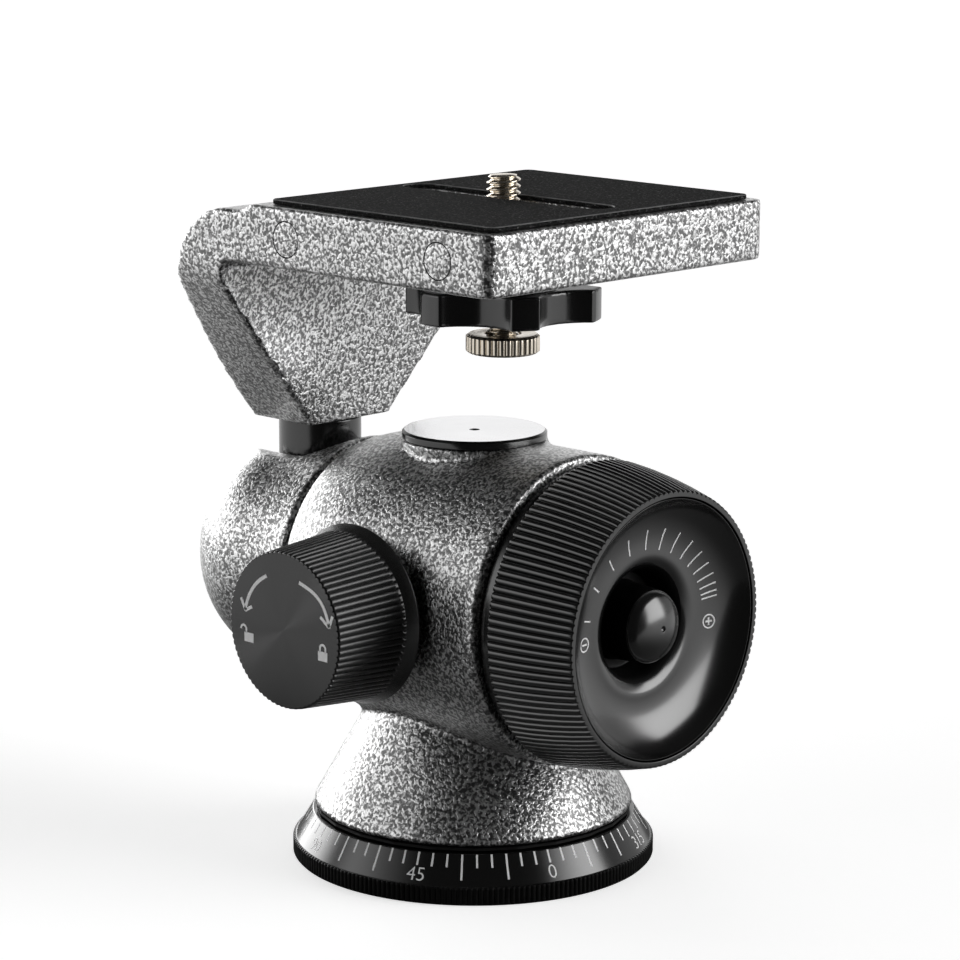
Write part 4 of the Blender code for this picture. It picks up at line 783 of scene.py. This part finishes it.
def make_pan_knob():
    profile = [
        (0, PAN_FRONT),
        (14.3, PAN_FRONT, 0.0, 0.28),
        (14.55, 49.4, 0.0, 0.42),
        (14.65, 48.9, 0.0, 0.46),
        (15.85, 34.6, 0.0, 0.5),
        (15.9, 34.2, 0.0, 0.25),
        (15.95, 33.9, 0.1, 0.0),
        (17.0, 31.5, 0.4),
        (16.0, 30.4, 0.2),
        (3.3, 30.4),
        (3.3, 40.4),
        (0, 40.4),
    ]
    knob = turned("pan_lock_grip", profile, TILT_CENTRE, ALONG_MINUS_Y, ridges=PAN_RIDGES, samples=10)
    dress(knob, "pan_knob", SPUN, RIDGE_ANGLE)


# Ball, its cap and the stem
BALL_RADIUS = 20
BALL_FLAT = 16.5
CAP_BORE = 20.3
CAP_RADIUS = 24.2
CAP_SLOT = 8.7
CUTTER_REACH = 30


def make_cap():
    """A hollow ball end with a flared collar, slotted from its top round to its end."""
    flare = [
        (CAP_RADIUS + (step / FLARE_STEPS) ** 2, 14.76 * step / FLARE_STEPS)
        for step in range(FLARE_STEPS, 0, -1)
    ]
    outside = circle((0, 0), CAP_RADIUS, 0, -90, 48)
    outside[-1] = (0, -CAP_RADIUS)
    inside = circle((0, 0), CAP_BORE, -90, 0, 40)
    inside[0] = (0, -CAP_BORE)
    profile = [
        *inside,
        (CAP_BORE, 22.86),
        (22.5, 22.86),
        (22.5, 15.16),
        (24.8, 15.16),
        *flare,
        *outside,
    ]
    cap = turned("ball_cap_shell", profile, BALL_CENTRE, ALONG_X)
    combine(cap, rod("spot_face", 12.5, 20.9, CUTTER_REACH, BALL_CENTRE))
    combine(cap, rod("slot_top", CAP_SLOT, 0, CUTTER_REACH, BALL_CENTRE))
    combine(cap, rod("slot_end", CAP_SLOT, -CUTTER_REACH, 0, BALL_CENTRE, ALONG_X))
    left, top = BALL_X - CUTTER_REACH, TILT_Z + CUTTER_REACH
    corner = [(left, TILT_Z), (BALL_X, TILT_Z), (BALL_X, top), (left, top)]
    combine(cap, prism("slot_between", corner, -CAP_SLOT, CAP_SLOT, "XZ"))
    soften(cap, CAP_GRAIN, 3)
    keep_within(cap, "ball_cap")
    stands_for(cap, "ball_cap", HAMMERTONE)


def make_ball():
    """A ball with a flat on top and a blind hole for the stud."""
    start = math.degrees(math.asin(BALL_FLAT / BALL_RADIUS))
    side = circle((0, 0), BALL_RADIUS, start, -90, 64)
    side[-1] = (0, -BALL_RADIUS)
    rim = (side[0][0], BALL_FLAT, 0.3)
    profile = [(0, 1.9), (STUD_BORE, 1.9), (STUD_BORE, BALL_FLAT, 0.2), rim, *side[1:]]
    ball = turned("ball_turned", profile, BALL_CENTRE)
    smooth(ball)
    stands_for(ball, "ball", TURNED)


def make_stem():
    profile = [(STUD_BORE, 80.3), (8.2, 80.3, 0.3), (8.2, 69.2, 0.3), (STUD_BORE, 69.2)]
    stem = turned("stem_post", profile, STEM_CENTRE)
    dress(stem, "stem", SATIN, within=False)


# Bracket, its plugs and pad
PLATFORM_REACH = 82.46
PLATFORM_Y = 37.4
PLATFORM_CORNER = 2.8
SLOT_START, SLOT_END, SLOT_HALF = -17.5, 33.5, 3.5
PLUG_XS = (-11.86, 27.14)
PLUG_Z = 121.65
PAD_LOW, PAD_HIGH = 127.4, 128.3


def bracket_side():
    """The outline from the front: the arm's foot, its inner corner, the platform and the outer edge."""
    inner = circle((14.96, 33.1), 2.5, 180, 90, 12)
    shoulder = arc((14.16, 34.6), (13.1, 10.9), 90, 180, 24)
    outer = [(9.1 * (1 - step / 24) ** 1.8 - 8.04, 34.6 * (1 - step / 24)) for step in range(1, 24)]
    points = [
        (-8.04, 0),
        (8.76, 0),
        *inner,
        (PLATFORM_REACH, 35.6),
        (PLATFORM_REACH, 46.9),
        (21.36, 46.9),
        (18.56, 45.5),
        *shoulder,
        *outer,
    ]
    return [(BALL_X + x, BRACKET_Z + z) for x, z in points]


def bracket_front():
    """The outline from the ball's end: half of it, and the same mirrored."""
    foot, waist, waist_z = 10.5, 33.0, 27.1
    side = [(foot, -4), (foot, 0)]
    side += [(foot + 22.5 * step / 12, waist_z * step / 12) for step in range(1, 13)]
    side += [
        (waist + 4.4 * math.sin(step / 12 * math.pi / 2), waist_z + 7.7 * step / 12)
        for step in range(1, 13)
    ]
    side.append((PLATFORM_Y, 51))
    right = [(y, BRACKET_Z + z) for y, z in side]
    return right + [(-y, z) for y, z in reversed(right)]


def bracket_plan():
    """The outline from above."""
    x, y = BALL_X + PLATFORM_REACH - PLATFORM_CORNER, PLATFORM_Y - PLATFORM_CORNER
    return [
        (-60, -PLATFORM_Y),
        *circle((x, -y), PLATFORM_CORNER, -90, 0, 10),
        *circle((x, y), PLATFORM_CORNER, 0, 90, 10),
        (-60, PLATFORM_Y),
    ]


def make_bracket():
    """The casting is what the three outlines share, each drawn out well past the others."""
    bracket = prism("bracket_casting", bracket_side(), -41, 41, "XZ")
    combine(bracket, prism("front_view", bracket_front(), -60, 45, "YZ"), "INTERSECT")
    combine(bracket, prism("plan_view", bracket_plan(), 76, 132), "INTERSECT")
    soften(bracket, BRACKET_GRAIN, 3)
    combine(bracket, prism("slot", round_slot(SLOT_START, SLOT_END, SLOT_HALF), 110, 135))
    combine(bracket, rod("stud_bore", STUD_BORE, 75, 96, STEM_CENTRE))
    for index, x in enumerate(PLUG_XS, 1):
        hole = rod(f"plug_hole_{index}", 3.45, 31.1, 45, (x, 0, PLUG_Z), ALONG_MINUS_Y)
        combine(bracket, hole)
    smooth(bracket, 45)
    keep_within(bracket, "bracket")
    stands_for(bracket, "bracket", HAMMERTONE)


def make_plugs():
    """The plugs share the bracket's origin, so that its paint runs on across them."""
    for index, x in enumerate(PLUG_XS, 1):
        plug = rod(f"plug_{index}", 3.3, 31.4, PLATFORM_Y, (x, 0, PLUG_Z), ALONG_MINUS_Y, edge=0.2)
        plug.data.transform(plug.matrix_world)
        plug.matrix_world = Matrix()
        bpy.context.view_layer.update()
        dress(plug, f"bracket_plug_{index}", HAMMERTONE, within=False)


def make_pad():
    """A rubber sheet, whose slot is slightly larger than the platform's. Its upper edge is painted pale as a
    highlight.
    """
    pad = prism("pad_sheet", rounded_plate((-19.1, -34.6), (37.8, 34.6), 1.5), PAD_LOW, PAD_HIGH)
    gap = 0.1
    slot = round_slot(SLOT_START - gap, SLOT_END + gap, SLOT_HALF + gap)
    combine(pad, prism("pad_slot", slot, 120, 140))
    bevel = pad.modifiers.new("edges", "BEVEL")
    bevel.width = 0.18 * MM
    bevel.segments = 2
    bevel.limit_method = "ANGLE"
    bevel.angle_limit = math.radians(60)
    bake(pad)
    dress(pad, "platform_pad", RUBBER)
    # The bevelled faces of the pad's upper edge get pale rubber: a painted highlight
    edge_low = PAD_HIGH - 0.2
    paint_faces(
        pad, RUBBER_HIGHLIGHT, lambda middle, normal: middle.z > edge_low and 0.2 < normal.z < 0.97
    )


# Camera screw, its knob and the star nut
SCREW_LOW, SCREW_HIGH = 98.8, 132.2
KNURL_RIDGES = 34
NUT_BORE = 3.475
LOBES = 6
STAR_RADIUS = 18.6
STAR_WAIST = 14.2
STAR_TURN = -33.4


def make_camera_screw():
    """A thread whose crest and root are each flat for a sixth of the pitch, with chamfered ends."""
    low, high = SCREW_LOW, SCREW_HIGH
    pitch, crest_r, root_r = 1.27, 3.175, 2.42
    tip_chamfer, foot_chamfer = 0.7, 0.3
    around, rows = 48, int((high - low) / pitch * 10)
    points, faces = [], []
    for row in range(rows + 1):
        z = low + (high - low) * row / rows
        ends = min(crest_r - tip_chamfer + (high - z), crest_r - foot_chamfer + (z - low))
        for step in range(around):
            turn = math.tau * step / around
            phase = ((z - low) / pitch - step / around) % 1
            rise = min(1, max(0, 1.25 - abs(2 * phase - 1) * 1.5))
            reach = min(root_r + (crest_r - root_r) * rise, ends)
            points.append((reach * math.cos(turn), reach * math.sin(turn), z))
    for row in range(rows):
        for step in range(around):
            a = row * around + step
            b = row * around + (step + 1) % around
            faces.append([a, b, b + around, a + around])
    faces.append(list(range(around)))
    faces.append(list(range(rows * around, (rows + 1) * around)))
    screw = tidy_normals(add_object("camera_screw_threaded", points, faces, SCREW_CENTRE))
    smooth(screw, RIDGE_ANGLE)
    keep_within(screw, "camera_screw")
    stands_for(screw, "camera_screw", NICKEL)


def make_screw_knob():
    profile = [
        (NUT_BORE, 102.45, 0.1),
        (6.4, 102.45, 0.15, 0.0),
        (7.0, 102.0, 0.1, 0.5),
        (7.0, 99.25, 0.1, 0.5),
        (6.4, SCREW_LOW, 0.15, 0.0),
        (NUT_BORE, SCREW_LOW, 0.1),
    ]
    knob = turned("screw_knob_knurled", profile, SCREW_CENTRE, ridges=KNURL_RIDGES, samples=10)
    dress(knob, "screw_knob", NICKEL, RIDGE_ANGLE)


def star_outline():
    """Narrow lobes that end on one circle, with a round hollow between each two."""
    half_lobe = math.asin(2.65 / STAR_RADIUS)
    half_arc = math.pi / LOBES - half_lobe
    chord = STAR_RADIUS * math.sin(half_arc)
    depth = STAR_RADIUS * math.cos(half_arc) - STAR_WAIST
    hollow = (chord**2 + depth**2) / (2 * depth)
    spread = math.degrees(math.asin(chord / hollow))
    lobe_steps = 6
    points = []
    for lobe in range(LOBES):
        middle = math.radians(STAR_TURN) + math.tau * (lobe + 0.5) / LOBES
        for step in range(lobe_steps):
            turn = middle - half_arc - half_lobe * 2 * (1 - step / lobe_steps)
            points.append((STAR_RADIUS, turn))
        for x, y in circle((0, 0), hollow, 180 + spread, 180 - spread, 14):
            reach = Vector((STAR_WAIST + hollow + x, y))
            points.append((reach.length, middle + math.atan2(reach.y, reach.x)))
    return [(SCREW_X + r * math.cos(t), r * math.sin(t)) for r, t in points]


def make_star_nut():
    nut = prism("star_nut_cast", star_outline(), 105.6, 111.8)
    combine(nut, rod("hub", 10.0, 108, 114.6, SCREW_CENTRE, steps=128), "UNION")
    combine(nut, rod("nut_hole", NUT_BORE, 100, 120, SCREW_CENTRE, steps=64))
    soften(nut, NUT_GRAIN, 3)
    keep_within(nut, "star_nut")
    stands_for(nut, "star_nut", SATIN)


make_base()
make_housing()
make_top_disc()
make_tilt_knob()
make_tilt_dial()
make_tilt_collar()
make_pan_knob()
make_cap()
make_ball()
make_stem()
make_bracket()
make_plugs()
make_pad()
make_camera_screw()
make_screw_knob()
make_star_nut()


# Marks, drawn as thin strips that follow the surface they lie on
SUNK = -0.06
PROUD = 0.025
SCALE_ZERO = -19.47
TICK_DEGREES, LONG_DEGREES, NUMBER_DEGREES = 5, 15, 45
TICK_RADIUS = 32.5
DIGIT_RADIUS = 33.7
DIGIT_SIZE = 3.75
DIGIT_FOOT = 0.72
DIAL_LINE = 0.28
SIGN_LINE = 0.34
SIGN_RADIUS = 1.25
SIGN_HALF = 0.72
ARROW_LINE = 0.68
ARROW_STEPS = 20
BARB_LINE = 0.62


def polar_point(radius, degrees):
    turn = math.radians(degrees)
    return radius * math.cos(turn), radius * math.sin(turn)


def on_cone(along, up, out):
    """Along in degrees about Z, up in millimetres from the scale's lower edge, out from the surface."""
    run, rise = SCALE_TOP[0] - SCALE_BOTTOM[0], SCALE_TOP[1] - SCALE_BOTTOM[1]
    radius = SCALE_BOTTOM[0] + run * up / SCALE_SLANT + out * rise / SCALE_SLANT
    height = SCALE_BOTTOM[1] + rise * up / SCALE_SLANT - out * run / SCALE_SLANT
    return (*polar_point(radius, along), height)


def on_dial(across, up, out):
    """Across along +Y and up along Z from the dial's centre, on the dish seen from +X."""
    reach = math.hypot(across, up)
    height = float(np.interp(reach, DISH_R, DISH_H))
    return KNOB_FRONT + height + out, across, TILT_Z + up


def on_pan_face(across, up, out):
    """Across along +X and up along Z from the face's centre, seen from -Y."""
    return across, -(PAN_FRONT + out), TILT_Z + up


def strip(path, width):
    """Left and right edges of a strip along a path of flat points."""
    path = [Vector(point) for point in path]
    left, right = [], []
    for index, point in enumerate(path):
        before = path[max(index - 1, 0)]
        after = path[min(index + 1, len(path) - 1)]
        side = (after - before).normalized()
        side = Vector((-side.y, side.x)) * width / 2
        left.append(point + side)
        right.append(point - side)
    return left, right


def add_strip(points, faces, path, width, place):
    """Adds a strip from just under the surface to just above it."""
    left, right = strip(path, width)
    start = len(points)
    for a, b in zip(left, right):
        points.extend([
            place(a.x, a.y, SUNK), place(a.x, a.y, PROUD), place(b.x, b.y, PROUD), place(b.x, b.y, SUNK)
        ])
    last = len(left) - 1
    for index in range(last):
        here = start + 4 * index
        for corner in range(4):
            following = (corner + 1) % 4
            faces.append([here + corner, here + following, here + 4 + following, here + 4 + corner])
    faces.append([start + corner for corner in range(4)])
    faces.append([start + 4 * last + corner for corner in range(3, -1, -1)])


def drawn(name, paths, place, body):
    """One object of strips. Each path is a list of flat points and a width."""
    points, faces = [], []
    for path, width in paths:
        add_strip(points, faces, path, width, place)
    return mark_on(tidy_normals(add_object(name, points, faces)), body)


def line(start, end, steps=6):
    """Points at even steps from start to end."""
    start, end = np.array(start), np.array(end)
    return [tuple(start + (end - start) * step / steps) for step in range(steps + 1)]


def make_scale():
    """Ticks round the cone, long every 15 degrees but short above the numbers, and the numbers."""
    points, faces = [], []
    for degrees in range(0, 360, TICK_DEGREES):
        turn = SCALE_ZERO - degrees
        long_one = degrees % LONG_DEGREES == 0 and degrees % NUMBER_DEGREES != 0
        low = SCALE_SLANT - (5.0 if long_one else 2.65)
        path = line((0, low), (0, SCALE_SLANT - 0.12), 3)

        def place(along, up, out, turn=turn):
            return on_cone(turn - math.degrees(along / TICK_RADIUS), up, out)

        add_strip(points, faces, path, 0.38, place)
    mark_on(tidy_normals(add_object("scale_ticks", points, faces)), "base")
    for degrees in range(0, 360, NUMBER_DEGREES):
        make_number(str(degrees), SCALE_ZERO - degrees)


def make_number(text, turn):
    """Digits on the base's cone, read from outside."""
    curve = bpy.data.curves.new("digits", "FONT")
    curve.body = text
    curve.size = DIGIT_SIZE
    curve.align_x = "CENTER"
    curve.extrude = 0.03
    curve.offset = -0.03
    curve.resolution_u = 4
    holder = bpy.data.objects.new("digits", curve)
    bpy.context.scene.collection.objects.link(holder)
    bpy.context.view_layer.update()
    depsgraph = bpy.context.evaluated_depsgraph_get()
    data = bpy.data.meshes.new_from_object(holder.evaluated_get(depsgraph))
    points = [tuple(vertex.co) for vertex in data.vertices]
    faces = [list(face.vertices) for face in data.polygons]
    low = min(y for _, y, _ in points)
    middle = (min(x for x, _, _ in points) + max(x for x, _, _ in points)) / 2
    placed = [
        on_cone(turn + math.degrees((x - middle) / DIGIT_RADIUS), DIGIT_FOOT + y - low, z)
        for x, y, z in points
    ]
    bpy.data.objects.remove(holder)
    mark_on(add_object(f"scale_number_{text}", placed, faces), "base")


def make_dial_marks():
    """Ticks as (degrees, middle radius, length), and a plus and a minus sign in rings."""
    ticks = [
        (167.5, 16.33, 1.9), (146.6, 16.26, 2.1), (126.7, 15.93, 2.7), (107.7, 15.98, 3.3),
        (90.5, 15.99, 3.8), (75.0, 16.03, 4.0), (61.2, 16.23, 4.1), (48.7, 16.47, 4.1),
        (37.9, 16.75, 4.0), (28.8, 17.11, 3.9), (21.3, 17.38, 3.8), (15.3, 17.52, 3.7),
        (10.8, 17.53, 3.6), (7.7, 17.56, 3.4),
    ]
    paths = []
    for turn, middle, length in ticks:
        inner = polar_point(middle - length / 2, turn)
        outer = polar_point(middle + length / 2, turn)
        paths.append((line(inner, outer), DIAL_LINE))
    drawn("dial_ticks", paths, on_dial, "tilt_turn")
    for name, degrees, reach in (("dial_plus", -7.5, 17.6), ("dial_minus", -177.6, 16.7)):
        x, y = polar_point(reach, degrees)
        paths = [(circle((x, y), SIGN_RADIUS), DIAL_LINE)]
        paths.append((line((x - SIGN_HALF, y), (x + SIGN_HALF, y)), SIGN_LINE))
        if name == "dial_plus":
            paths.append((line((x, y - SIGN_HALF), (x, y + SIGN_HALF)), SIGN_LINE))
        drawn(name, paths, on_dial, "tilt_turn")


def padlock(centre, size, closed):
    """A small padlock: its body is one wide strip, and its shackle hangs over to the left when open."""
    x, y = centre
    half_width = size * 0.36
    middle = y - size * 0.18
    body = (line((x - half_width, middle), (x + half_width, middle)), size * 0.52)
    bow = size * 0.21
    foot = y + size * 0.04
    knee = y + size * 0.24
    bow_x = x if closed else x - 2 * bow
    free_end = foot if closed else knee - size * 0.02
    shackle = [(bow_x - bow, free_end), *circle((bow_x, knee), bow, 180, 0, 12), (bow_x + bow, foot)]
    return [body, (shackle, size * 0.13)]


def arrow(name, path, barbs):
    """A curved arrow. The two strokes of its head start at barbs, counted from the tip."""
    x, y = path[-1]
    strokes = [(path, ARROW_LINE)]
    for (across, up), past in zip(barbs, (0.05, -0.05)):
        strokes.append((line((x + across, y + up), (x + past, y - 0.15), 2), BARB_LINE))
    drawn(name, strokes, on_pan_face, "pan_turn")


def make_pan_marks():
    """An arrow with an open padlock on the left, and one with a closed padlock on the right."""
    left = circle((0, 0), 10.45, 114.5, 168, ARROW_STEPS)
    arrow("arrow_left", left, [(-1.15, 2.1), (1.8, 0.85)])
    right = []
    for step in range(ARROW_STEPS + 1):
        share = step / ARROW_STEPS
        bulge = 1.75 * math.sin(math.pi * share)
        right.append((
            4.29 + (12.12 - 4.29) * share + bulge * 0.80,
            9.7 + (2.86 - 9.7) * share + bulge * 0.62,
        ))
    arrow("arrow_right", right, [(-2.3, 1.45), (0.9, 2.1)])
    drawn("lock_open", padlock((-9.3, -2.3), 3.4, False), on_pan_face, "pan_turn")
    drawn("lock_closed", padlock((10.4, -2.3), 3.4, True), on_pan_face, "pan_turn")


make_scale()
make_dial_marks()
make_pan_marks()


# Camera, placed and turned as the photo's was
CAMERA_TURN = math.radians(-45.79529)
CAMERA_AWAY = 624.561
CAMERA_HEIGHT = 203.703
CAMERA_YAW = math.radians(-45.79529 + 180 - 0.09741)
CAMERA_PITCH = math.radians(-11.79883)
CAMERA_ROLL = math.radians(0.22382)
FOCAL_SHARE = 3349.2928 / 960
SENSOR = 36
TOWARDS = Vector((math.cos(CAMERA_TURN), math.sin(CAMERA_TURN), 0))
RIGHTWARDS = Vector((-math.sin(CAMERA_TURN), math.cos(CAMERA_TURN), 0))


def make_camera():
    ahead = Vector((
        math.cos(CAMERA_YAW) * math.cos(CAMERA_PITCH),
        math.sin(CAMERA_YAW) * math.cos(CAMERA_PITCH),
        math.sin(CAMERA_PITCH),
    ))
    side = ahead.cross(Vector((0, 0, 1))).normalized()
    up = side.cross(ahead)
    right = side * math.cos(CAMERA_ROLL) + up * math.sin(CAMERA_ROLL)
    top = up * math.cos(CAMERA_ROLL) - side * math.sin(CAMERA_ROLL)
    data = bpy.data.cameras.new("camera")
    data.sensor_width = SENSOR
    data.lens = SENSOR * FOCAL_SHARE
    data.clip_start = 0.05
    data.clip_end = 50
    camera = bpy.data.objects.new("camera", data)
    bpy.context.scene.collection.objects.link(camera)
    place = Matrix((right, top, -ahead)).transposed().to_4x4()
    place.translation = Vector((
        CAMERA_AWAY * math.cos(CAMERA_TURN), CAMERA_AWAY * math.sin(CAMERA_TURN), CAMERA_HEIGHT
    )) * MM
    camera.matrix_world = place
    bpy.context.scene.camera = camera


# Studio: a pale floor with a notch cut out in front, so that upright faces mirror the dark there
NOTCH_START = 85
NOTCH_LEFT = 40
NOTCH_RIGHT = 60
FLOOR_REACH = 4000
FLOOR_STEPS = 48
FLOOR_Z = -0.02
FLOOR_TONE, SEEN_TONE = 0.25, 0.66
FLOOR_GLOW, SEEN_GLOW = 0.75, 0.6
GLOW_START, GLOW_FULL = 0.09, 0.26


def make_floor():
    """A disc round the object, with a wedge of NOTCH_LEFT and NOTCH_RIGHT degrees left out in front.

    The camera sees it nearly white, and mirrors see it glow from GLOW_START metres outwards.
    """
    apex = TOWARDS * NOTCH_START
    start, end = NOTCH_RIGHT, 360 - NOTCH_LEFT
    rim = [apex]
    for step in range(FLOOR_STEPS + 1):
        turn = math.radians(start + (end - start) * step / FLOOR_STEPS)
        rim.append(apex + (TOWARDS * math.cos(turn) + RIGHTWARDS * math.sin(turn)) * FLOOR_REACH)
    points = [(spot.x, spot.y, FLOOR_Z) for spot in rim]
    faces = [[0, index, index + 1] for index in range(1, FLOOR_STEPS + 1)]
    floor = add_object("floor", points, faces)
    made, nodes, shader, where = new_material("floor")
    cloud = nodes.noise(where, 3, 2.0)
    path = nodes.add("ShaderNodeLightPath")
    seen = path.outputs["Is Camera Ray"]
    reach = nodes.add("ShaderNodeVectorMath", {"operation": "LENGTH"})
    nodes.set(reach, "0", where)
    far = nodes.rise(reach.outputs["Value"], GLOW_START, GLOW_FULL)
    tone = nodes.sum("MULTIPLY_ADD", cloud, 0.03, FLOOR_TONE)
    tone = nodes.sum("MULTIPLY_ADD", seen, SEEN_TONE, tone)
    nodes.set(shader, "Base Color", nodes.ramp(tone, [(0, 0.0), (1, 1.0)]))
    nodes.set(shader, "Roughness", 0.8)
    nodes.set(shader, "Specular IOR Level", 0.1)
    nodes.set(shader, "Emission Color", (1, 1, 1, 1))
    glow = nodes.sum("MULTIPLY", path.outputs["Is Glossy Ray"], nodes.sum("MULTIPLY", far, FLOOR_GLOW))
    nodes.set(shader, "Emission Strength", nodes.sum("MULTIPLY_ADD", seen, SEEN_GLOW, glow))
    floor.data.materials.append(made)


# Lights in the sky: start and end in degrees round from the camera, above 0 to its right, their soft
# edge, lowest and highest degrees above the horizon, their soft edge, and brightness
LIGHTS = {
    "left softbox": (-166, -107, 6, -5, 18, 5, 5.5),
    "left fill": (-100, -45, 12, -4, 34, 8, 1.7),
    "right softbox": (57, 97, 4, -3, 35, 5, 5.4),
    "right fill": (97, 150, 8, -5, 20, 6, 0.5),
}

# Brightness behind the object, overhead, and everywhere else, and where they start and are full
BACKDROP = 1.0
CEILING = 0.02
FRONT = 0.04
BACKDROP_START, BACKDROP_FULL = 128, 160
BACKDROP_BAND = (-6, 26, 6)
CEILING_START, CEILING_FULL = 48, 75


def make_sky():
    """Mirrors see the lights, and the camera sees white."""
    world = bpy.data.worlds.new("studio")
    bpy.context.scene.world = world
    nodes = Nodes(world)
    where = nodes.add("ShaderNodeTexCoord").outputs["Generated"]

    def along(direction):
        node = nodes.add("ShaderNodeVectorMath", {"operation": "DOT_PRODUCT"})
        nodes.set(node, "0", where)
        nodes.set(node, "1", direction)
        return node.outputs["Value"]

    def band(value, low, high, edge):
        rise = nodes.rise(value, low - edge, low + edge)
        fall = nodes.rise(value, high - edge, high + edge)
        return nodes.sum("SUBTRACT", rise, fall)

    degrees = 180 / math.pi
    turn = nodes.sum("MULTIPLY", nodes.sum("ARCTAN2", along(RIGHTWARDS), along(TOWARDS)), degrees)
    height = nodes.sum("MULTIPLY", nodes.sum("ARCSINE", along((0, 0, 1))), degrees)
    away = nodes.sum("ABSOLUTE", turn)
    behind = nodes.rise(away, BACKDROP_START, BACKDROP_FULL)
    behind = nodes.sum("MULTIPLY", behind, band(height, *BACKDROP_BAND))
    total = nodes.sum("MULTIPLY_ADD", behind, BACKDROP, FRONT)
    overhead = nodes.rise(height, CEILING_START, CEILING_FULL)
    total = nodes.sum("MULTIPLY_ADD", overhead, CEILING, total)
    for start, end, side_edge, low, high, edge, bright in LIGHTS.values():
        box = nodes.sum("MULTIPLY", band(turn, start, end, side_edge), band(height, low, high, edge))
        total = nodes.sum("MULTIPLY_ADD", box, bright, total)
    light = nodes.add("ShaderNodeBackground", Color=(1, 1, 1, 1), Strength=total)
    seen = nodes.add("ShaderNodeBackground", Color=(1, 1, 1, 1), Strength=1.0)
    pick = nodes.add("ShaderNodeMixShader")
    nodes.set(pick, "0", nodes.add("ShaderNodeLightPath").outputs["Is Camera Ray"])
    nodes.set(pick, "1", light.outputs[0])
    nodes.set(pick, "2", seen.outputs[0])
    nodes.add("ShaderNodeOutputWorld", Surface=pick.outputs[0])


make_camera()
make_floor()
make_sky()
bpy.context.scene.view_settings.view_transform = "Standard"
